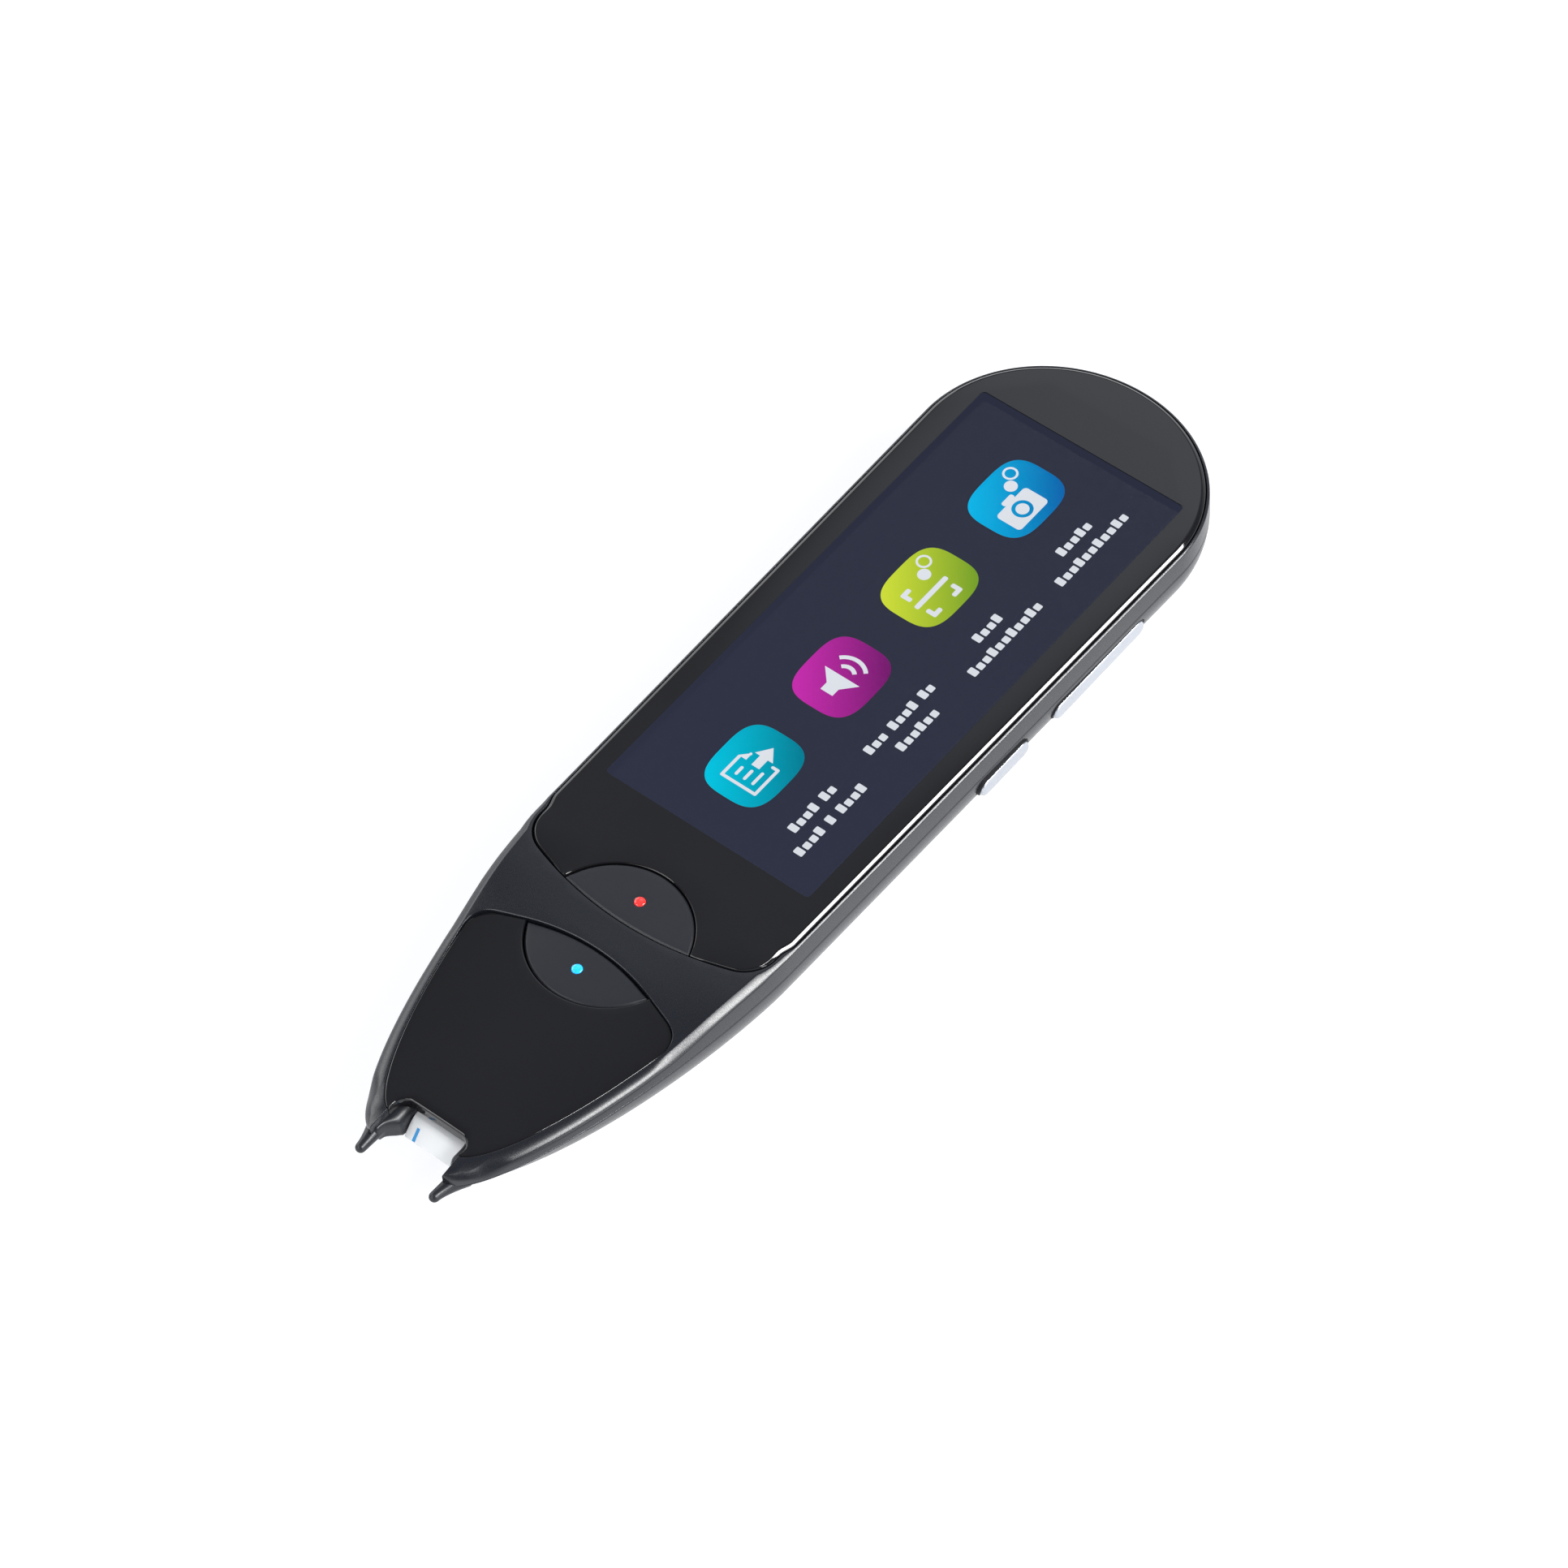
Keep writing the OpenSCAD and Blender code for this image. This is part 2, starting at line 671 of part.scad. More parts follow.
hood_drop = 0.5;
hood_top = seam_z - hood_drop;
hood_x = hood_w / 2 + fit;
hood_edge = 0.2;
hood_y = mouth_y - hood_edge;
hood_lap = 0.2;
hood_back_y = lining_y + hood_lap;
hood_lip_t = 0.7;
hood_bend = 0.9;
foot_drop = 0.35;
foot_tip_y = nose_y - foot_reach + foot_r;
foot_root_in = 1.8;
foot_root_y = nose_y + foot_root_in;
foot_root_x = foot_gap / 2 + flange_edge;
foot_root_top = panel_seat_z - foot_root_r - sink;
foot_root_h = 1.1;
foot_root_low = foot_root_top - foot_root_h;
foot_inner_x = foot_gap / 2 - foot_r;
flange_in = 0.8;
flange_y0 = nose_y + flange_in;
flange_h = 2.4;

module ball(r, x, y, z) translate([x, y, z]) sphere(r, $fn = foot_fn);

// Foot that touches the paper, tapering from the flange to a round tip
module foot()
    hull() {
        ball(foot_r, foot_gap / 2, foot_tip_y, seam_z - foot_drop);
        ball(foot_root_r, foot_root_x, foot_root_y, foot_root_low);
        ball(foot_root_r, foot_root_x, foot_root_y, foot_root_top);
    }

module nose_tip() color(shell_grey) difference() {
    union() {
        across(-lining_x, lining_x) polygon([
            [lip_y, lip_z],
            [lining_y, bow_z(lining_y)],
            [lining_y, panel_seat_z],
            [lip_y, panel_seat_z]]);
        across(-flange_x, flange_x) polygon([
            [flange_y0, panel_seat_z - flange_h],
            [flange_y1, lip_z],
            [flange_y1, panel_seat_z],
            [flange_y0, panel_seat_z]]);
        mirrored() foot();
    }
    along(nose_y - foot_reach - over, lining_y - lining_back_t) polygon([
        [-hood_x, -over], [hood_x, -over],
        [hood_x, hood_top], [mouth_w / 2, panel_seat_z],
        [mouth_w / 2, panel_seat_z + over], [-mouth_w / 2, panel_seat_z + over],
        [-mouth_w / 2, panel_seat_z], [-hood_x, hood_top]]);
    block([-hood_x, hood_x], [lip_y, lining_y + over], [-over, hood_top]);
    block([-foot_inner_x, foot_inner_x], [nose_y - foot_reach - over, lip_y], [-over, body_t]);
}

module light_guide() color(hood_white)
    across(-hood_w / 2, hood_w / 2) polygon([
        [hood_back_y, hood_top], [hood_y, hood_top], [lip_y, lip_z],
        [lip_y + hood_lip_t, lip_z], [hood_y + hood_bend, hood_top - hood_t],
        [hood_back_y, hood_top - hood_t]]);

mark_x = -2.6;
mark_w = 0.56;
mark_t = 0.12;
mark_start = 0.3;
mark_y = hood_y + (lip_y - hood_y) * mark_start;
mark_z = hood_top + (lip_z - hood_top) * mark_start;

module aim_mark() color(mark_blue)
    across(mark_x - mark_w / 2, mark_x + mark_w / 2) polygon([
        [mark_y, mark_z], [lip_y, lip_z], [lip_y - mark_t, lip_z], [mark_y - mark_t, mark_z]]);

// Front keys

plunger_x = 4.5;
plunger_r = 0.9;
upper_lamp_in = 4.8;
lower_lamp_in = 3.6;
upper_lamp_y = upper_key_y - upper_lamp_in;
lower_lamp_y = lower_key_y - lower_lamp_in;
pipe_gap = 0.03;
pipe_rim = 0.45;
pipe_flange_r = lamp_r + pipe_rim;
pipe_flange_t = 0.35;
key_drop = 0.1;

// Stubs that press the switches
module key_plungers(y)
    for (x = [-1, 1]) disc(plunger_r, x * plunger_x, y, plunger_z, flange_z + sink);

module upper_button() color(key_grey) difference() {
    union() {
        slab(flange_z, body_t) upper_key_plan(0);
        slab(flange_z, flange_top) intersection() {
            upper_key_plan(key_flange);
            square([2 * upper_key_r, 4 * side_len], center = true);
        }
        key_plungers(upper_lamp_y);
    }
    disc(lamp_r + pipe_gap, 0, upper_lamp_y, flange_z - over, body_t + over);
}

module lower_button() color(key_grey) difference() {
    union() {
        intersection() {
            slab(flange_z, body_t) lower_key_plan(0);
            under_crown(key_drop);
        }
        slab(flange_z, flange_top) intersection() {
            lower_key_plan(key_flange);
            square([2 * lower_key_r, 4 * side_len], center = true);
        }
        key_plungers(lower_lamp_y);
    }
    disc(lamp_r + pipe_gap, 0, lower_lamp_y, flange_z - over, body_t + over);
}

module light_pipe(y, top) {
    disc(lamp_r, 0, y, flange_z - pipe_flange_t, top);
    disc(pipe_flange_r, 0, y, flange_z - pipe_flange_t, flange_z);
}

module red_indicator() color(lamp_red) light_pipe(upper_lamp_y, body_t);

module blue_indicator() color(lamp_blue)
    light_pipe(lower_lamp_y, panel_z - key_drop - (neck_y - lower_lamp_y) * tan(nose_fall));

// Side keys

module side_key(y, len) {
    translate([0, y, side_key_z]) {
        across(key_flange_x - sink, key_face_x) pill(len, side_key_h);
        across(side_inner_x, key_flange_x)
            rounded(len + side_flange_len, side_key_h + side_flange_h, side_flange_round);
    }
}

module volume_rocker() color(silver) difference() {
    union() {
        side_key(rocker_y, rocker_len);
        disc(hub_r, pivot_x, rocker_y, hub_z0, hub_z1);
    }
    disc(pin_r + pin_gap, pivot_x, rocker_y, hub_z0 - over, hub_z1 + over);
}

pin_head = 0.4;

module rocker_pin() color("silver")
    disc(pin_r, pivot_x, rocker_y, pin_z, hub_z1 + pin_head);

module power_button() color(silver) side_key(power_y, power_len);

// Scanning camera

sensor_t = 0.6;
sensor_x = 5;
lens_play = 0.03;
lens_lift = 0.4;
lens_front = 0.6;
lamp_x = 4;
lamp_t = 0.8;
lamp_up = 0.3;
led_x = 2.4;
led_w = 1.6;
led_t = 0.5;
led_z = 1.9;
led_h = 0.8;

module scan_window() color(clear_grey)
    at_scan() block([-scan_w / 2, scan_w / 2], [-scan_len / 2, scan_len / 2], [-scan_t, 0]);

module scan_holder() color(matt_black) at_scan() difference() {
    block([-holder_x, holder_x], [-holder_y, holder_y], [scan_pad, holder_top]);
    disc(lens_r + lens_play, 0, 0, 0, holder_top + over);
}

module scan_lens() color(lens_blue) at_scan() {
    disc(lens_r, 0, 0, scan_pad + lens_lift, holder_top);
    disc(lens_r * lens_front, 0, 0, scan_pad + sink, scan_pad + lens_lift + sink);
}

module sensor_board() color(board_green) at_scan()
    block([-sensor_x, sensor_x], [-holder_y, holder_y], [holder_top, holder_top + sensor_t]);

module lamp_board() color(board_green) at_scan() {
    block([-lamp_x, lamp_x], [-holder_y - lamp_t, -holder_y], [scan_pad + lamp_up, holder_top]);
    for (x = [-led_x, led_x])
        block([x - led_w / 2, x + led_w / 2], [-holder_y - lamp_t - led_t, -holder_y - lamp_t],
            [led_z, led_z + led_h]);
}

// Boards, battery and sound

board_margin = 3.6;
screw_head = 0.6;
screw_head_r = screw_r + screw_head;
screw_head_h = 0.8;
socket_share = 0.6;
socket_depth = 0.4;
screw_spare = 0.2;

module main_board() color(board_green) slab(board_z, board_top) difference() {
    intersection() {
        polygon(outline(board_margin, bow_y(board_z - wall) + 2 * wall, bow_tip(board_z - wall) - wall));
        translate([-body_w, board_y0]) square([2 * body_w, board_y1 - board_y0]);
    }
    for (p = post_places) translate(p) circle(screw_r + fit);
}

can_y = -9;
can_w = 20;
can_len = 15;
can_h = 1.5;
can_corner = 1;

module shield_can() color("silver")
    slab(board_top, board_top + can_h) translate([0, can_y]) rounded(can_w, can_len, can_corner);

switch_w = 3.2;
switch_l = 3;
dome_h = 0.4;
dome_r = 0.8;

module key_switches() color("gainsboro")
    for (y = [upper_lamp_y, lower_lamp_y], x = [-plunger_x, plunger_x]) {
        block([x - switch_w / 2, x + switch_w / 2], [y - switch_l / 2, y + switch_l / 2],
            [board_top, switch_top - dome_h]);
        disc(dome_r, x, y, switch_top - dome_h - sink, switch_top);
    }

led_l = 0.8;
led_up = 0.6;

module indicator_leds() color("ivory")
    for (y = [upper_lamp_y, lower_lamp_y])
        block([-led_w / 2, led_w / 2], [y - led_l / 2, y + led_l / 2], [board_top, board_top + led_up]);

module screw(x, y, z, len) {
    disc(screw_r, x, y, z - len, z + sink);
    difference() {
        disc(screw_head_r, x, y, z, z + screw_head_h);
        disc(screw_r * socket_share, x, y, z + screw_head_h - socket_depth, z + 2 * over, $fn = 6);
    }
}

module board_screws() color("silver") {
    for (p = post_places) screw(p[0], p[1], board_top, screw_len - screw_spare + board_t);
    for (p = charge_posts) screw(p[0], p[1], charge_top, charge_post_h + board_t);
}

battery_corner = 1.5;
tape_margin = 1.5;

module battery_plan(margin)
    translate([0, battery_y0 + battery_len / 2])
        rounded(battery_w - 2 * margin, battery_len - 2 * margin, battery_corner);

module battery() color(battery_silver) slab(battery_z, battery_z + battery_t) battery_plan(0);

module battery_tape() color("khaki") slab(floor_z, battery_z) battery_plan(tape_margin);

gasket_h = 0.4;
speaker_z = floor_z + gasket_h;
speaker_top = speaker_z + speaker_t;
speaker_corner = 2;
speaker_rim = 1.2;
magnet_r = 3.4;
magnet_h = 0.5;

module speaker() color(matt_black) translate([0, speaker_y]) {
    slab(speaker_z, speaker_top) rounded(speaker_w, speaker_len, speaker_corner);
    slab(speaker_top, speaker_top + magnet_h) circle(magnet_r);
}

module speaker_gasket() color("dimgray")
    slab(floor_z, speaker_z) translate([0, speaker_y]) difference() {
        rounded(speaker_w, speaker_len, speaker_corner);
        rounded(speaker_w - 2 * speaker_rim, speaker_len - 2 * speaker_rim, speaker_corner - speaker_rim);
    }

charge_margin = 1.5;

module charge_board() color(board_green) slab(charge_z, charge_top) difference() {
    intersection() {
        polygon(outline(back_round + wall - charge_margin));
        translate([-body_w, charge_y0]) square([2 * body_w, end_len]);
    }
    for (p = charge_posts) translate(p) circle(screw_r + fit);
}

usb_wall = 0.3;
usb_back_t = 0.8;
tongue_w = 6.7;
tongue_t = 0.7;
tongue_in = 1;

module usb_socket() color("silver") translate([0, 0, usb_z]) {
    difference() {
        along(usb_y1 - usb_len, usb_y1) pill(usb_w, usb_h);
        along(usb_y1 - usb_len + usb_back_t, usb_y1 + over) pill(usb_w - 2 * usb_wall, usb_h - 2 * usb_wall);
    }
    along(usb_y1 - usb_len + usb_back_t - sink, usb_y1 - tongue_in)
        square([tongue_w, tongue_t], center = true);
}

mic_w = 2.8;
mic_l = 3;
mic_h = 1.1;
mic_in = 2.4;
mic_y = charge_y0 + mic_in;

module microphone() color("gold")
    block([mic_x - mic_w / 2, mic_x + mic_w / 2], [mic_y, mic_y + mic_l], [charge_top, charge_top + mic_h]);

flex_t = 0.15;
flex_w = 8;
flex_lap = 3;
flex_bend = 0.3;
flex_end = 1.6;
flex_foot = 1.2;
battery_top = battery_z + battery_t;
flex_y1 = charge_y0 + flex_end;

// Flat cable from the main board over the battery to the charging board
module link_flex() color(flex_amber) across(-flex_w / 2, flex_w / 2) polygon([
    [board_y1 - flex_lap, board_top], [board_y1 + flex_bend, board_top], [battery_y0, battery_top],
    [battery_y1, battery_top], [flex_y1 - flex_foot, charge_top], [flex_y1, charge_top],
    [flex_y1, charge_top + flex_t], [flex_y1 - flex_foot + flex_t, charge_top + flex_t],
    [battery_y1 + flex_t, battery_top + flex_t], [battery_y0 + flex_t, battery_top + flex_t],
    [board_y1 + flex_bend + flex_t, board_top + flex_t], [board_y1 - flex_lap, board_top + flex_t]]);

press_x = side_inner_x - power_travel - end_gap;
rocker_reach = 6.5;
side_switch_ys = [rocker_y - rocker_reach, rocker_y + rocker_reach, power_y];
side_switch_h = 2.4;
press_len = 0.5;
press_r = 0.7;
side_board_up = 1.7;

module side_board() color(board_green)
    block([side_board_x, side_switch_x], [side_board_y0, side_board_y1],
        [side_board_z, side_key_z + side_board_up]);

module side_switches() color("gainsboro")
    for (y = side_switch_ys) {
        block([side_switch_x, press_x - press_len], [y - switch_l / 2, y + switch_l / 2],
            [side_key_z - side_switch_h / 2, side_key_z + side_switch_h / 2]);
        translate([press_x - press_len - sink, y, side_key_z])
            rotate([0, 90, 0]) cylinder(r = press_r, h = press_len + sink);
    }

front_shell();
back_shell();
front_glass();
glass_gasket();
display_panel();
nose_panel();
nose_tip();
light_guide();
aim_mark();
upper_button();
lower_button();
red_indicator();
blue_indicator();
volume_rocker();
rocker_pin();
power_button();
scan_window();
scan_holder();
scan_lens();
sensor_board();
lamp_board();
main_board();
shield_can();
key_switches();
indicator_leds();
board_screws();
battery();
battery_tape();
speaker();
speaker_gasket();
charge_board();
usb_socket();
microphone();
link_flex();
side_board();
side_switches();
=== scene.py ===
"""Looks of the scanning pen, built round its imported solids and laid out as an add-on."""

import math
from types import SimpleNamespace

import bmesh
import bpy
import numpy as np
from mathutils import Matrix, Quaternion, Vector
from mathutils.geometry import delaunay_2d_cdt


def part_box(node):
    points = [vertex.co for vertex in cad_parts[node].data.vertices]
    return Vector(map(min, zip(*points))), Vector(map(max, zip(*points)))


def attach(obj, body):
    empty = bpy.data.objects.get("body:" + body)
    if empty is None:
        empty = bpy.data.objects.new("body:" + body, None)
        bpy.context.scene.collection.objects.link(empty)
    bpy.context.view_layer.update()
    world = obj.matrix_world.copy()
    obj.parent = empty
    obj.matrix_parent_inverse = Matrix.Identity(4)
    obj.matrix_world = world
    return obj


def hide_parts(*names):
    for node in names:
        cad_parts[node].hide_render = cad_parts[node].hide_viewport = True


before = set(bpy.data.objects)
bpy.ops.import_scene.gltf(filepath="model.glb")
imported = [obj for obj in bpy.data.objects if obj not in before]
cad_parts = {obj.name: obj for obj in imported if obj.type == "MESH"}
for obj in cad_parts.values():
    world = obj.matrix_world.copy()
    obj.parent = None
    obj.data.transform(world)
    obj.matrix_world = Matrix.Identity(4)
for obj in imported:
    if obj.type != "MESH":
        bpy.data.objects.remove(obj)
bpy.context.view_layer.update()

bl_info = {
    "name": "Scanning pen",
    "version": (1, 0, 0),
    "blender": (4, 5, 0),
    "location": "View3D > Sidebar > Pen",
    "description": "Housing, glass, keys, scanning mouth and stage of a scanning pen",
    "category": "Object",
}

MM = 0.001
TINY = 1e-7
HALF_PI = math.pi / 2
SMOOTH_ANGLE = math.radians(32)

# Plan and profile of the housing, as in the solids
NOSE_FULLNESS = 1.5
NOSE_ROUNDNESS = 0.6
NOSE_SPACING = 1.7
NOSE_FALL = math.tan(math.radians(2.4))
BOW_POWER = 1.6

# Steps of the outline and of the back's rounding
NOSE_STEPS = 72
FRONT_STEPS = 10
SIDE_STEPS = 60
END_STEPS = 48
RING_STEPS = 26

# Small distances that several pieces share, in millimetres
DECK_DROP = 0.1
PANEL_DROP = 0.12
PANEL_SEAT = 0.9
KEY_GAP = 0.2
UPPER_LAMP_DROP = 4.8
LOWER_LAMP_DROP = 3.6
MOUTH_FLANGE_X = 7.25


def linear(r, g, b):
    """Scene-linear colour of an sRGB colour given from 0 to 255."""
    def one(c):
        c /= 255
        return c / 12.92 if c <= 0.04045 else ((c + 0.055) / 1.055) ** 2.4
    return (one(r), one(g), one(b))


def length(name, description, default):
    return bpy.props.FloatProperty(
        name=name, description=description, default=default, unit="LENGTH", precision=5)


def colour(name, description, rgb):
    return bpy.props.FloatVectorProperty(
        name=name, description=description, default=linear(*rgb), subtype="COLOR",
        size=3, min=0.0, max=1.0)


def wide(node):
    low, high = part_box(node)
    return high.x - low.x


class PenSizes(bpy.types.PropertyGroup):
    """Sizes of the pen's outside"""
    body_w: length("Body width", "Width where the round end starts", wide("back_shell"))
    shoulder_w: length("Shoulder width", "Width where the nose starts to narrow", 0.0412)
    body_t: length("Thickness", "From the resting face to the glass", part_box("front_glass")[1].z)
    side_len: length("Side length", "Length of the straight sides", 0.082)
    end_len: length("End length", "Length of the round end", 0.0196)
    nose_len: length("Nose length", "From the shoulder to the lobes", 0.051)
    shoulder_y: length("Shoulder place", "Where the nose starts, along the pen", -0.024)
    seam_z: length("Seam height", "Height of the seam between the shells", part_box("back_shell")[1].z)
    wall: length("Wall", "Wall thickness of the shells", 0.0016)
    back_round: length("Back rounding", "How far the back draws in below the seam", 0.007)
    rim_drop: length("Rim drop", "Depth of the rim below the glass", 0.0005)
    tip_w: length("Tip width", "Width across the nose at its end", 0.012)
    bow_rake: length("Bow rake", "Length of the raked underside", 0.030)
    bow_swell: length("Bow swell", "Swelling of the raked underside half way up", 0.0024)
    crown_r: length("Crown radius", "Crown of the nose panel", 0.110)
    shoulder_r: length("Shoulder rounding", "Rounding of the shell along the nose", 0.00135)
    panel_margin: length("Panel margin", "Width of the shell's arms beside the nose panel", 0.0015)
    panel_end: length("Panel end", "Distance of the nose panel's end from the nose", 0.0032)
    panel_corner: length("Panel corner", "Reach of the panel's rounded upper corners", 0.0032)
    rim_w: length("Rim width", "Width of the shell's rim beside the glass", 0.00055)
    glass_edge: length("Glass edge", "Width of the bevelled edge of the glass", 0.00075)
    glass_jog: length("Glass step", "Step in the side of the glass above the neck", 0.00055)
    glass_corner: length("Glass corner", "Corner radius of the glass above the neck", 0.005)
    neck_r: length("Neck upper radius", "Radius of the lower edge of the glass", 0.049)
    neck_low_r: length("Neck lower radius", "Radius of the neck band's lower edge", 0.033)
    neck_w: length("Neck width", "Width of the neck band between the keys", 0.005)
    upper_key_r: length("Upper key radius", "Radius of the upper key's round edge", 0.0108)
    upper_key_h: length("Upper key height", "Height of the upper key", 0.0086)
    lower_key_r: length("Lower key radius", "Radius of the lower key's round edge", 0.011)
    lower_key_h: length("Lower key height", "Height of the lower key", 0.0081)
    lamp_r: length("Indicator radius", "Radius of an indicator's light pipe", 0.00075)
    mouth_w: length("Mouth width", "Width of the scanning mouth", 0.0116)
    mouth_len: length("Mouth depth", "Depth of the scanning mouth behind the lobes", 0.006)
    mouth_corner: length("Mouth corner", "Corner radius of the scanning mouth", 0.0017)
    rocker_len: length("Rocker length", "Length of the volume rocker", 0.0192)
    rocker_y: length("Rocker place", "Centre of the volume rocker along the pen", 0.040)
    power_len: length("Power key length", "Length of the power key", 0.010)
    power_y: length("Power key place", "Centre of the power key along the pen", 0.0197)
    side_key_h: length("Side key width", "Width of a side key", 0.0026)
    side_key_z: length("Side key height", "Height of the side keys' centre line", 0.0063)
    screen_w: length("Screen width", "Width of the lit picture", 0.034)
    screen_len: length("Screen length", "Length of the lit picture", 0.080)
    screen_y: length("Screen place", "Middle of the lit picture along the pen", 0.0245)


class PenColours(bpy.types.PropertyGroup):
    """Colours of the pen's finishes"""
    shell: colour("Shell", "Moulded housing", (22, 24, 30))
    keys: colour("Keys", "Front keys", (24, 26, 32))
    gloss: colour("Gloss black", "Glass border and nose panel", (17, 17, 20))
    silver: colour("Side keys", "Silver of the side keys", (192, 196, 203))
    hood: colour("Hood", "White hood in the scanning mouth", (226, 228, 230))
    mark: colour("Aim mark", "Blue mark on the hood", (20, 136, 200))
    screen: colour("Screen", "Lit ground of the picture", (46, 49, 65))
    light: colour("Light figures", "Figures and lines of the picture", (226, 230, 236))
    lamp_red: colour("Upper lamp", "Indicator in the upper key", (236, 46, 44))
    lamp_blue: colour("Lower lamp", "Indicator in the lower key", (30, 168, 236))
    board: colour("Boards", "Solder mask of the boards", (24, 84, 58))
    steel: colour("Steel", "Shields, screws and socket", (176, 178, 182))
    black: colour("Black plastic", "Speaker and lens holder", (30, 30, 32))
    foil: colour("Battery foil", "Wrap of the battery", (168, 172, 178))
    foam: colour("Foam", "Gaskets and tape", (62, 62, 64))
    flex: colour("Flat cable", "Amber film of the flat cable", (198, 128, 44))
    switch: colour("Switches", "Housings of the switches", (196, 196, 192))
    gold: colour("Contacts", "Gilded contacts", (212, 170, 88))
    floor: colour("Floor", "Studio floor", (250, 250, 250))


def span(node):
    """Box of a solid in millimetres: along X its ends x0 and x1, middle xm and size xs, and so on."""
    out = SimpleNamespace()
    for axis, a, b in zip("xyz", *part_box(node)):
        for key, value in (("0", a), ("1", b), ("m", (a + b) / 2), ("s", b - a)):
            setattr(out, axis + key, value / MM)
    return out


def level(z):
    """Flat side of a plate at a height."""
    return lambda x, y: np.full(len(x), z)


def at_height(loop, z):
    """Plan loop as a ring at a height."""
    return np.column_stack([loop, np.full(len(loop), z)])


def gap_to(points, p):
    """Distance of a point from the nearest of many."""
    return np.hypot(*(points - p).T).min()


def smooth(a, b, v):
    """Soft run from 0 at a to 1 at b."""
    s = np.clip((v - a) / (b - a), 0, 1)
    return s * s * (3 - 2 * s)


def arc(cx, cy, r, a0, a1, n):
    """Points on a circle between two angles in degrees."""
    a = np.radians(np.linspace(a0, a1, n))
    return np.column_stack([cx + r * np.cos(a), cy + r * np.sin(a)])


def disc(cx, cy, r):
    """Closed circle."""
    return arc(cx, cy, r, 0, 345, 24)


def line(p, q, n):
    """Points on a straight line, with both its ends."""
    return np.column_stack([np.linspace(p[0], q[0], n), np.linspace(p[1], q[1], n)])


def crossing(d, r, big):
    """Where a circle meets a bigger one whose centre lies d further along."""
    y = (d * d + r * r - big * big) / (2 * d)
    return math.sqrt(r * r - y * y), y


def mirror_loop(half):
    """Whole loop from its right half, whose first and last points lie on the middle line."""
    left = half[-2:0:-1].copy()
    left[:, 0] *= -1
    return np.vstack([half, left])


def rounded_loop(w, h, r, cx=0.0, cy=0.0, n=8):
    """Rectangle with rounded corners."""
    x, y = w / 2 - r, h / 2 - r
    return np.vstack([
        arc(cx + x, cy - y, r, -90, 0, n), arc(cx + x, cy + y, r, 0, 90, n),
        arc(cx - x, cy + y, r, 90, 180, n), arc(cx - x, cy - y, r, 180, 270, n)])


def stadium(w, h, cx, cy, n=14):
    """Slot with round ends."""
    return rounded_loop(w, h, h / 2 - 0.01, cx, cy, n)


def near_circle(loop, cy, r, reach=0.02):
    """Which points of a loop lie on a key's round edge."""
    return np.hypot(loop[:, 0], loop[:, 1] - cy) < r + KEY_GAP + reach


def soften(points, corner, reach, n=10):
    """Open run of points with the corner at an index replaced by a curve that starts reach before it."""
    def back_from(step):
        i, left = corner, reach
        while 0 <= i + step < len(points):
            d = np.linalg.norm(points[i + step] - points[i])
            if d >= left:
                return i + step, points[i] + (points[i + step] - points[i]) * left / d
            left -= d
            i += step
        return i, points[i]
    before, p = back_from(-1)
    after, q = back_from(1)
    t = np.linspace(0, 1, n)[:, None]
    curve = (1 - t) ** 2 * p + 2 * t * (1 - t) * points[corner] + t * t * q
    return np.vstack([points[:before + 1], curve, points[after:]])


def spaced(points, step):
    """Run of points drawn again at an even spacing."""
    d = np.concatenate([[0], np.cumsum(np.linalg.norm(np.diff(points, axis=0), axis=1))])
    keep = np.concatenate([[True], np.diff(d) > 1e-9])
    n = max(int(round(d[-1] / step)), 2) + 1
    at = np.linspace(0, d[-1], n)
    return np.column_stack([np.interp(at, d[keep], points[keep, k]) for k in (0, 1)])


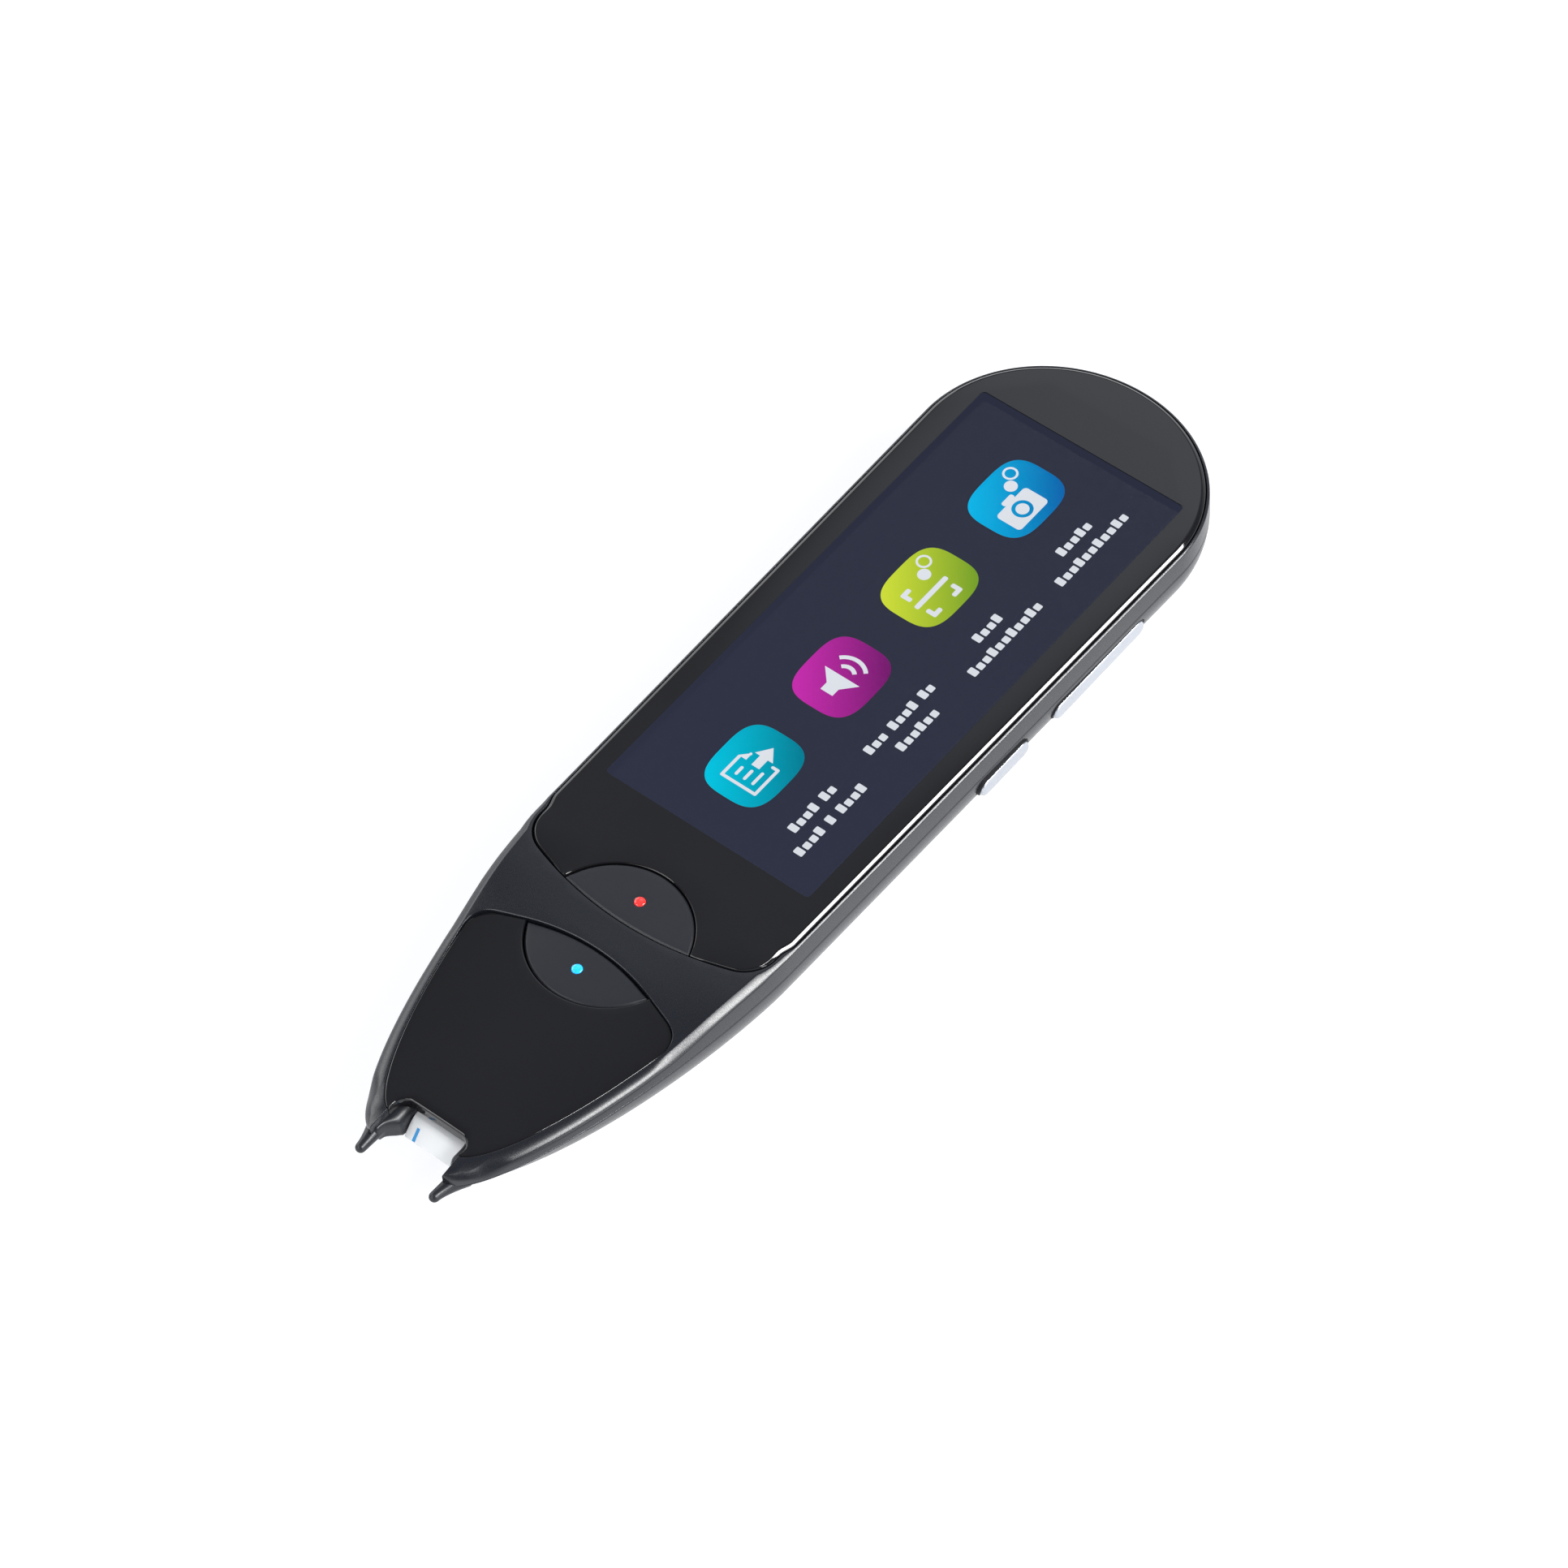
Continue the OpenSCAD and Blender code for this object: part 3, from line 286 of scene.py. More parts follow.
class PenForm:
    """Curves and heights of the pen, in millimetres."""

    def __init__(self, context):
        sizes = context.scene.pen_sizes
        for key in sizes.__annotations__:
            setattr(self, key, getattr(sizes, key) / MM)
        self.round_y = self.shoulder_y + self.side_len
        self.nose_y = self.shoulder_y - self.nose_len
        self.apex_y = self.round_y + self.end_len
        self.mouth_y = self.nose_y + self.mouth_len
        self.neck_top_y = self.shoulder_y - self.upper_key_h
        self.neck_y = self.neck_top_y - self.neck_w
        self.rim_z = self.body_t - self.rim_drop
        self.deck_top = self.body_t - DECK_DROP
        self.panel_z = self.body_t - PANEL_DROP
        self.panel_seat_z = self.seam_z + PANEL_SEAT
        self.upper_centre = self.shoulder_y - self.upper_key_r
        self.upper_low_centre = self.neck_top_y + self.neck_r
        self.neck_centre = self.neck_y - self.neck_low_r
        self.lower_centre = self.neck_y - KEY_GAP - self.lower_key_h + self.lower_key_r
        self.upper_lamp_y = self.shoulder_y - UPPER_LAMP_DROP
        self.lower_lamp_y = self.neck_y - KEY_GAP - LOWER_LAMP_DROP
        keys_y = (self.rocker_y + self.power_y) / 2
        self.side_x = (self.shoulder_w + (self.body_w - self.shoulder_w)
                       * (keys_y - self.shoulder_y) / self.side_len) / 2

    def half(self, inset=0.0, nose_end=None, tip=None):
        """Right half of the plan outline from the middle of the nose to the apex."""
        nose_end = self.nose_y if nose_end is None else nose_end
        tip = self.tip_w / 2 if tip is None else tip
        u = 1 - (1 - np.linspace(1, 0, NOSE_STEPS + 1)) ** NOSE_SPACING
        ws = self.shoulder_w / 2 - inset
        we = self.body_w / 2 - inset
        nose = np.column_stack([
            tip + (ws - tip) * np.maximum(1 - u ** NOSE_FULLNESS, 0) ** NOSE_ROUNDNESS,
            self.shoulder_y - u * (self.shoulder_y - nose_end)])
        a = np.linspace(0, HALF_PI, END_STEPS + 1)
        end = np.column_stack([we * np.cos(a), self.round_y + (self.end_len - inset) * np.sin(a)])
        end[-1, 0] = 0
        return np.vstack([
            line((0, nose_end), (tip, nose_end), FRONT_STEPS + 1)[:-1], nose,
            line((ws, self.shoulder_y), (we, self.round_y), SIDE_STEPS + 1)[1:-1], end])

    def bow_z(self, y):
        return self.seam_z * (1 - (y - self.nose_y) / self.bow_rake) ** BOW_POWER

    def bow_y(self, z):
        return self.nose_y + self.bow_rake * (1 - (z / self.seam_z) ** (1 / BOW_POWER))

    def bow_tip(self, z):
        r = (self.bow_y(z) - self.nose_y) / self.bow_rake
        return self.tip_w / 2 + self.bow_swell * 4 * r * (1 - r)

    def deck(self, x, y):
        """Height of the front shell's deck."""
        rise = smooth(-self.shoulder_y - 4, -self.shoulder_y + 6, -y)
        crown = smooth(-self.neck_top_y, -self.neck_y + 12, -y)
        return (self.rim_z + (self.deck_top - self.rim_z) * rise - crown * x * x / (2 * self.crown_r)
                - np.maximum(0, self.neck_y - y) * NOSE_FALL)

    def edge_r(self, y):
        share = smooth(-self.shoulder_y - 6, -self.shoulder_y + 2, -y)
        return self.rim_drop + (self.shoulder_r - self.rim_drop) * share

    def panel(self, x, y):
        """Height of the crowned, falling surface of the nose panel."""
        return self.panel_z - (self.neck_y - y) * NOSE_FALL - x * x / (2 * self.crown_r)

    def glass_half(self, inset):
        """Right half of the glass outline from the middle of its lower edge to the apex."""
        side = self.shoulder_w / 2 - self.rim_w - self.glass_jog - inset
        low = self.neck_top_y + inset
        r = self.glass_corner
        lean = math.atan((side - r * 0.7) / self.neck_r)
        cx = side - r
        foot_x = cx + r * math.sin(lean)
        cy = low + foot_x ** 2 / (2 * self.neck_r) + r * math.cos(lean)
        x = np.linspace(0, foot_x, 40)
        lower = np.column_stack([x, low + x * x / (2 * self.neck_r)])
        corner = arc(cx, cy, r, -90 + math.degrees(lean), 0, 18)[1:]
        y = np.linspace(cy, self.round_y, 160)[1:]
        straight = side + self.glass_jog + (self.body_w - self.shoulder_w) / 2 * (
            (y - self.shoulder_y) / (self.round_y - self.shoulder_y))
        step = smooth(self.shoulder_y - 0.4, self.shoulder_y + 2.0, y)
        sides = np.column_stack([side + (straight - side) * step, y])
        a = np.linspace(0, HALF_PI, END_STEPS + 1)[1:]
        end = np.column_stack([
            (self.body_w / 2 - self.rim_w - inset) * np.cos(a),
            self.round_y + (self.end_len - self.rim_w - inset) * np.sin(a)])
        end[-1, 0] = 0
        return np.vstack([lower, corner, sides, end])

    def upper_key_half(self, grow):
        """Right half of the upper key, from the middle of its lower edge to the top."""
        r, big = self.upper_key_r + grow, self.neck_r + grow
        x, y = crossing(self.upper_low_centre - self.upper_centre, r, big)
        low = math.degrees(math.atan2(self.upper_centre + y - self.upper_low_centre, x))
        return np.vstack([
            arc(0, self.upper_low_centre, big, -90, low, 40),
            arc(0, self.upper_centre, r, math.degrees(math.atan2(y, x)), 90, 48)[1:]])

    def lower_key_half(self, grow):
        """Right half of the lower key, from the bottom to the middle of its upper edge."""
        r, big = self.lower_key_r + grow, self.neck_low_r - KEY_GAP + grow
        x, y = crossing(self.neck_centre - self.lower_centre, r, big)
        high = math.degrees(math.atan2(self.lower_centre + y - self.neck_centre, x))
        return np.vstack([
            arc(0, self.lower_centre, r, -90, math.degrees(math.atan2(y, x)), 48),
            arc(0, self.neck_centre, big, high, 90, 40)[1:]])

    def panel_side(self, inset, start_x, tip_inset=0.6, play=0.1, slope=-0.2):
        """Right side of the nose panel from its end to the middle of the neck's arc, corner rounded."""
        margin = self.panel_margin + inset
        half = self.half(margin, self.nose_y + self.panel_end + inset, self.tip_w / 2 - tip_inset)
        half = half[(half[:, 0] >= start_x) & (half[:, 1] < self.shoulder_y)]
        r = self.neck_low_r - play - inset
        turn = math.acos(self.lower_key_r / r)
        edge = np.array([r * math.cos(turn), self.neck_centre + r * math.sin(turn)])
        below = half[half[:, 1] < edge[1] + (half[:, 0] - edge[0]) * slope]
        run = np.vstack([[[start_x, below[0][1]]], below, line(below[-1], edge, 24)[1:-1],
                         arc(0, self.neck_centre, r, math.degrees(turn), 90, 50)])
        return soften(run, len(below), self.panel_corner, 16)

    def screen_loop(self, grow, r=0.6):
        """Outline of the lit picture."""
        return rounded_loop(self.screen_w + grow, self.screen_len + grow, r, 0, self.screen_y, 5)


def left_normals(loop):
    """Unit normals to the left of a closed loop, lengthened at corners."""
    d = np.roll(loop, -1, axis=0) - loop
    d /= np.linalg.norm(d, axis=1)[:, None]
    n = np.column_stack([-d[:, 1], d[:, 0]])
    p = np.roll(n, 1, axis=0)
    return (n + p) / np.maximum(1 + (n * p).sum(axis=1), 0.6)[:, None]


def clean_loop(loop, gap=1e-4):
    """Closed loop without points that fall together."""
    keep = np.linalg.norm(loop - np.roll(loop, 1, axis=0), axis=1) > gap
    return loop[keep]


def inside(points, loops):
    """Whether points lie inside the loops, counting crossings."""
    odd = np.zeros(len(points), bool)
    x, y = points[:, 0], points[:, 1]
    for loop in loops:
        a, b = loop, np.roll(loop, -1, axis=0)
        for (ax, ay), (bx, by) in zip(a, b):
            if ay == by:
                continue
            hit = (ay > y) != (by > y)
            odd ^= hit & (x < (bx - ax) * (y - ay) / (by - ay) + ax)
    return odd


def fill(loops, cell=None, lit=None, spacing=0.55):
    """Triangles over a plan region: its points, loops first, and its faces.
    The edge of a lit area is kept in them, but doesn't cut the region."""
    kept = loops if lit is None else loops + [lit]
    points = np.vstack(kept)
    edges, base = [], 0
    for loop in kept:
        n = len(loop)
        edges += [(base + i, base + (i + 1) % n) for i in range(n)]
        base += n
    if cell:
        low, high = points.min(axis=0) + cell / 2, points.max(axis=0)
        gx, gy = np.meshgrid(*(np.arange(a, b, cell) for a, b in zip(low, high)))
        grid = np.column_stack([gx.ravel(), gy.ravel()])
        grid = grid[inside(grid, loops)]
        near = np.array([gap_to(points, g) for g in grid])
        points = np.vstack([points, grid[near > cell * spacing]])
    out, _, tris, ids, _, _ = delaunay_2d_cdt([Vector(p) for p in points], edges, [], 0, TINY, True)
    if not all(ids):
        raise RuntimeError("a plan outline crosses itself")
    source = [i[0] for i in ids]
    made = []
    centres = np.array([np.mean([out[k] for k in t], axis=0) for t in tris])
    for t, ok in zip(tris, inside(centres, loops)):
        if ok:
            a, b, c = (out[k] for k in t)
            turn = (b - a).cross(c - a)
            made.append([source[k] for k in (t if turn > 0 else t[::-1])])
    return points, made


def slopes(*pieces):
    """Edge profile for a plate from pieces, top one first.
    Each piece has a start tilt, an end tilt, a length and a count of steps."""
    points = [np.zeros(2)]
    for start, end, run, n in pieces:
        for k in range(n):
            tilt = math.radians(start + (end - start) * (k + 0.5) / n)
            points.append(points[-1] + np.array([math.cos(tilt), math.sin(tilt)]) * run / n)
    points = np.array(points) / points[-1]
    return [(1 - out, down) for out, down in points[::-1]]


class Shape:
    """Vertices, in millimetres, and faces that grow into one mesh."""

    def __init__(self):
        self.verts, self.faces, self.marks = [], [], []

    def add(self, verts, faces):
        base = len(self.verts)
        self.verts += [tuple(v) for v in verts]
        for ids in faces:
            self.face([base + i for i in ids])
        return base

    def face(self, ids, mark=0):
        self.faces.append(ids)
        self.marks.append(mark)

    def rings(self, rings, mark=0):
        """Skin through closed rings of equal length; returns where each ring starts."""
        n = len(rings[0])
        starts = [self.add(r, []) for r in rings]
        for a, b in zip(starts, starts[1:]):
            for i in range(n):
                j = (i + 1) % n
                self.face([a + i, a + j, b + j, b + i], mark)
        return starts

    def tube(self, rings):
        """Skin through closed rings, with one face at each end."""
        starts, n = self.rings(rings), len(rings[0])
        self.face([starts[0] + i for i in range(n)][::-1])
        self.face([starts[-1] + i for i in range(n)])

    def cap(self, start, ring, up):
        """Closes a ring whose vertices are already there."""
        _, tris = fill([np.array(ring)[:, :2]])
        for t in tris:
            self.face([start + i for i in (t if up else t[::-1])])

    def plate(self, loops, top, bottom, edges, cell, steps=5, mark=0, lit=None, lit_low=None, profile=None):
        """Closed plate between two heights, with its upper edges rounded.
        The first loop is the outside, anticlockwise; holes run clockwise. Edges hold a width and a height
        for each loop. The profile, or what it makes of a loop, gives shares of them from the outside in.
        Flat faces inside the loop lit, or lit_low on the lower side, get the next mark."""
        if profile is None:
            quarter = [HALF_PI * k / steps for k in range(steps + 1)]
            profile = [(1 - math.cos(a), 1 - math.sin(a)) for a in quarter]
        loops = [clean_loop(np.asarray(loop, float)) for loop in loops]
        inner, tops, lows = [], [], []
        for loop, (w, h) in zip(loops, edges):
            w, h = np.broadcast_to(w, len(loop)), np.broadcast_to(h, len(loop))
            normals = left_normals(loop)
            rings = [np.column_stack([loop, bottom(loop[:, 0], loop[:, 1])])]
            for way_in, down in profile(loop) if callable(profile) else profile:
                p = loop + normals * (w * way_in)[:, None]
                rings.append(np.column_stack([p, top(p[:, 0], p[:, 1]) - h * down]))
            starts = self.rings(rings, mark)
            inner.append(rings[-1][:, :2])
            tops += range(starts[-1], starts[-1] + len(loop))
            lows += range(starts[0], starts[0] + len(loop))
        self.flat(inner, tops, top, cell, mark, lit)
        self.flat(loops, lows, bottom, None, mark, lit if lit_low is None else lit_low, up=False)

    def flat(self, loops, ids, height, cell, mark, lit, up=True):
        """Upper or lower side of a plate, whose edge vertices are already there."""
        points, tris = fill(loops, cell, lit)
        extra = points[len(ids):]
        base = self.add(np.column_stack([extra, height(extra[:, 0], extra[:, 1])]), []) if len(extra) else 0
        ids = list(ids) + list(range(base, base + len(extra)))
        centres = np.array([points[list(t)].mean(axis=0) for t in tris])
        marks = inside(centres, [lit]) if lit is not None else np.zeros(len(tris), bool)
        for t, m in zip(tris, marks):
            self.face([ids[i] for i in (t if up else t[::-1])], mark + int(m))

    def prism(self, loop, low, high, axis="z"):
        """Straight prism of a loop, drawn as (x, y), (y, z) or (x, z), along an axis."""
        loop = clean_loop(np.asarray(loop, float))
        after = np.roll(loop, -1, axis=0)
        if (loop[:, 0] * after[:, 1] - loop[:, 1] * after[:, 0]).sum() < 0:
            loop = loop[::-1]
        n = len(loop)
        place = {"z": lambda p, t: (p[0], p[1], t), "x": lambda p, t: (t, p[0], p[1]),
                 "y": lambda p, t: (p[0], t, p[1])}[axis]
        verts = [place(p, low) for p in loop] + [place(p, high) for p in loop]
        _, tris = fill([loop])
        faces = [[i, (i + 1) % n, n + (i + 1) % n, n + i] for i in range(n)]
        faces += [list(t[::-1]) for t in tris] + [[n + i for i in t] for t in tris]
        if axis == "y":
            faces = [f[::-1] for f in faces]
        self.add(verts, faces)

    def box(self, x, y, z):
        self.prism([(x[0], y[0]), (x[1], y[0]), (x[1], y[1]), (x[0], y[1])], *z)

    def lathe(self, profile, x, y, n):
        """Turned form of a profile of (r, z), from its lowest point to its highest."""
        a = np.linspace(0, 2 * math.pi, n, endpoint=False)
        self.tube([[(x + r * math.cos(t), y + r * math.sin(t), z) for t in a] for r, z in profile])

    def sideways(self):
        """Turns the form's height along X and its plan to Y and Z."""
        self.verts = [(z, x, y) for x, y, z in self.verts]

    def object(self, name, *materials):
        mesh = bpy.data.meshes.new(name)
        mesh.from_pydata([(x * MM, y * MM, z * MM) for x, y, z in self.verts], [], self.faces)
        for m in materials:
            mesh.materials.append(m)
        mesh.polygons.foreach_set("material_index", self.marks)
        obj = bpy.data.objects.new(name, mesh)
        bpy.context.scene.collection.objects.link(obj)
        return obj


def bake(obj):
    """Applies the modifiers of an object to its mesh."""
    deps = bpy.context.evaluated_depsgraph_get()
    mesh = bpy.data.meshes.new_from_object(
        obj.evaluated_get(deps), preserve_all_data_layers=True, depsgraph=deps)
    old = obj.data
    obj.modifiers.clear()
    obj.data = mesh
    mesh.name = obj.name
    bpy.data.meshes.remove(old)


def combine(obj, shape, operation):
    """Adds a shape to an object or cuts it away."""
    tool = shape.object("tool")
    m = obj.modifiers.new("combine", "BOOLEAN")
    m.operation, m.object, m.solver = operation, tool, "EXACT"
    bake(obj)
    mesh = tool.data
    bpy.data.objects.remove(tool)
    bpy.data.meshes.remove(mesh)
    if not obj.data.polygons:
        raise RuntimeError(f"{obj.name} was lost in a cut")


def bevel(obj, width, segments, angle):
    """Rounds the edges that are sharper than an angle."""
    m = obj.modifiers.new("bevel", "BEVEL")
    m.width, m.segments, m.limit_method = width * MM, segments, "ANGLE"
    m.angle_limit = math.radians(angle)
    bake(obj)


def melt(obj, cell, rounds):
    """Runs the edges of a joined form into each other, as in one moulding."""
    m = obj.modifiers.new("skin", "REMESH")
    m.mode, m.voxel_size = "VOXEL", cell * MM
    m = obj.modifiers.new("soften", "SMOOTH")
    m.factor, m.iterations = 0.5, rounds
    bake(obj)


def settle(obj, body, slot, *nodes, angle=SMOOTH_ANGLE):
    """Shades a finished piece, makes it ride on its body and stand for its solids."""
    bm = bmesh.new()
    bm.from_mesh(obj.data)
    bmesh.ops.remove_doubles(bm, verts=bm.verts, dist=TINY)
    bmesh.ops.dissolve_degenerate(bm, edges=bm.edges, dist=TINY)
    bmesh.ops.recalc_face_normals(bm, faces=bm.faces)
    bm.to_mesh(obj.data)
    bm.free()
    obj.data.polygons.foreach_set("use_smooth", [True] * len(obj.data.polygons))
    obj.data.set_sharp_from_angle(angle=angle)
    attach(obj, body)
    if nodes:
        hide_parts(*nodes)


def paint(node, finish):
    """Gives a solid that stays a finish of its own."""
    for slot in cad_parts[node].material_slots:
        slot.material = finish


# Finishes

def plug(tree, node, inputs):
    """Sets a node's inputs to constants or links them to outputs."""
    for key, value in inputs.items():
        if isinstance(value, bpy.types.NodeSocket):
            tree.links.new(value, node.inputs[key])
        else:
            node.inputs[key].default_value = value
    return node


def add_node(tree, kind, inputs=None, **settings):
    """New shader node with its settings and inputs."""
    node = tree.nodes.new("ShaderNode" + kind)
    for key, value in settings.items():
        setattr(node, key, value)
    return plug(tree, node, inputs or {})


def shared_finish(build):
    """Finish that is made once for its name, from the shader's inputs that a function works out."""
    def made(name, *args, **options):
        name += "_finish"
        material = bpy.data.materials.get(name)
        if not material:
            material = bpy.data.materials.new(name)
            material.use_nodes = True
            tree = material.node_tree
            tree.nodes.clear()
            place = add_node(tree, "TexCoord").outputs["Object"]
            shader = add_node(tree, "BsdfPrincipled")
            plug(tree, shader, build(tree, place, *args, **options))
            add_node(tree, "OutputMaterial", {"Surface": shader.outputs["BSDF"]})
        return material
    return made


def noise(tree, place, scale, detail=2.0, rough=0.5):
    inputs = {"Vector": place, "Scale": scale, "Detail": detail, "Roughness": rough}
    return add_node(tree, "TexNoise", inputs).outputs["Fac"]


def spread(tree, value, low, high, start=0.3, end=0.7):
    """Value carried from one span to another."""
    inputs = {"Value": value, "From Min": start, "From Max": end, "To Min": low, "To Max": high}
    return add_node(tree, "MapRange", inputs).outputs["Result"]


def between(tree, value, first, second):
    """Colour that runs from one to another with a value."""
    inputs = {"Factor": value, "A": (*first, 1), "B": (*second, 1)}
    return add_node(tree, "Mix", inputs, data_type="RGBA").outputs["Result"]


def tint(rgb, share):
    return tuple(min(c * share, 1.0) for c in rgb)


def mottled(tree, value, rgb, low, high):
    """Colour that runs from a darker to a lighter tint with a noise."""
    return between(tree, spread(tree, value, 0, 1), tint(rgb, low), tint(rgb, high))


def relief(tree, height, depth, strength=1.0):
    """Normal of a surface with fine heights."""
    inputs = {"Height": height, "Distance": depth, "Strength": strength}
    return add_node(tree, "Bump", inputs).outputs["Normal"]


@shared_finish
def moulded(tree, place, rgb, roughness, grain=6000.0, depth=2.5e-6, mottle=0.06):
    """Moulded plastic with a fine eroded grain and a slight mottle in colour and gloss."""
    cloud = noise(tree, place, 90.0, 4.0)
    speck = noise(tree, place, grain, 3.0, 0.6)
    return {"Base Color": mottled(tree, cloud, rgb, 1 - mottle, 1 + mottle),
            "Roughness": spread(tree, speck, roughness - 0.05, roughness + 0.05),
            "Normal": relief(tree, speck, depth)}


@shared_finish
def gloss(tree, place, rgb, roughness=0.05, smear=0.03):
    """Hard gloss with faint smears in its polish."""
    smears = noise(tree, place, 60.0, 5.0, 0.55)
    return {"Base Color": mottled(tree, smears, rgb, 0.9, 1.1),
            "Roughness": spread(tree, smears, roughness, roughness + smear, 0.4, 0.75),
            "Normal": relief(tree, noise(tree, place, 25.0, 1.0), 4e-6, 0.4)}


@shared_finish
def clear(tree, place, rgb, roughness, ior=1.5):
    """Clear glass or plastic."""
    smears = noise(tree, place, 70.0, 4.0)
    return {"Base Color": (*rgb, 1), "Roughness": spread(tree, smears, 0, roughness),
            "Transmission Weight": 1.0, "IOR": ior}


@shared_finish
def lit(tree, place, first, second, way=(1, 0, 0), low=-0.01, high=0.01):
    """Light from behind a picture, running between two colours one way, with a faint reflection."""
    along = add_node(tree, "VectorMath", {0: place, 1: way}, operation="DOT_PRODUCT")
    run = spread(tree, along.outputs["Value"], 0, 1, low, high)
    dots = noise(tree, place, 9000.0, 0.0)
    return {"Emission Color": between(tree, run, first, second), "Emission Strength": 1.0,
            "Base Color": (0, 0, 0, 1), "Roughness": spread(tree, dots, 0.04, 0.08),
            "Specular IOR Level": 0.08}


@shared_finish
def light_pipe(tree, place, rgb, strength):
    """Tinted light pipe, lit from below, with a slight cloud in it."""
    shade = mottled(tree, noise(tree, place, 1500.0, 2.0), rgb, 0.85, 1.15)
    return {"Base Color": shade, "Emission Color": shade, "Emission Strength": strength,
            "Roughness": 0.12, "Coat Weight": 0.6}


@shared_finish
def metal(tree, place, rgb, roughness, brushed=(40.0, 2600.0, 2600.0), metallic=1.0):
    """Metal with a drawn or blasted surface."""
    stretch = add_node(tree, "Mapping", {"Vector": place, "Scale": brushed})
    grain = noise(tree, stretch.outputs["Vector"], 1.0, 4.0)
    return {"Base Color": mottled(tree, grain, rgb, 0.93, 1.05), "Metallic": metallic,
            "Roughness": spread(tree, grain, roughness - 0.06, roughness + 0.06),
            "Normal": relief(tree, grain, 3e-6, 0.6)}


@shared_finish
def board(tree, place, rgb):
    """Solder mask with the traces under it."""
    cells = add_node(tree, "TexVoronoi", distance="MANHATTAN", feature="DISTANCE_TO_EDGE")
    plug(tree, cells, {"Vector": place, "Scale": 520.0})
    trace = spread(tree, cells.outputs["Distance"], 1, 0, 0.05, 0.12)
    return {"Base Color": between(tree, trace, tint(rgb, 0.75), tint(rgb, 1.5)), "Roughness": 0.35,
            "Normal": relief(tree, trace, 2e-5, 0.8)}


@shared_finish
def striped(tree, place, rgb):
    """Film with copper lines along its length."""
    wave = add_node(tree, "TexWave", {"Vector": place, "Scale": 1600.0}, bands_direction="X")
    run = spread(tree, wave.outputs["Fac"], 0, 1)
    return {"Base Color": between(tree, run, tint(rgb, 0.6), tint(rgb, 1.2)), "Roughness": 0.3,
            "Normal": relief(tree, run, 1e-5, 0.6)}


@shared_finish
def foam(tree, place, rgb):
    """Open foam or felted tape."""
    pores = noise(tree, place, 5200.0, 5.0, 0.7)
    return {"Base Color": mottled(tree, pores, rgb, 0.5, 1.3), "Roughness": 0.9,
            "Normal": relief(tree, pores, 8e-5)}


def shell_finish(colours):
    return moulded("shell_plastic", colours.shell, 0.27, depth=3.5e-7, mottle=0.05)


def gloss_finish(colours):
    return gloss("gloss_black", colours.gloss)


# Pieces

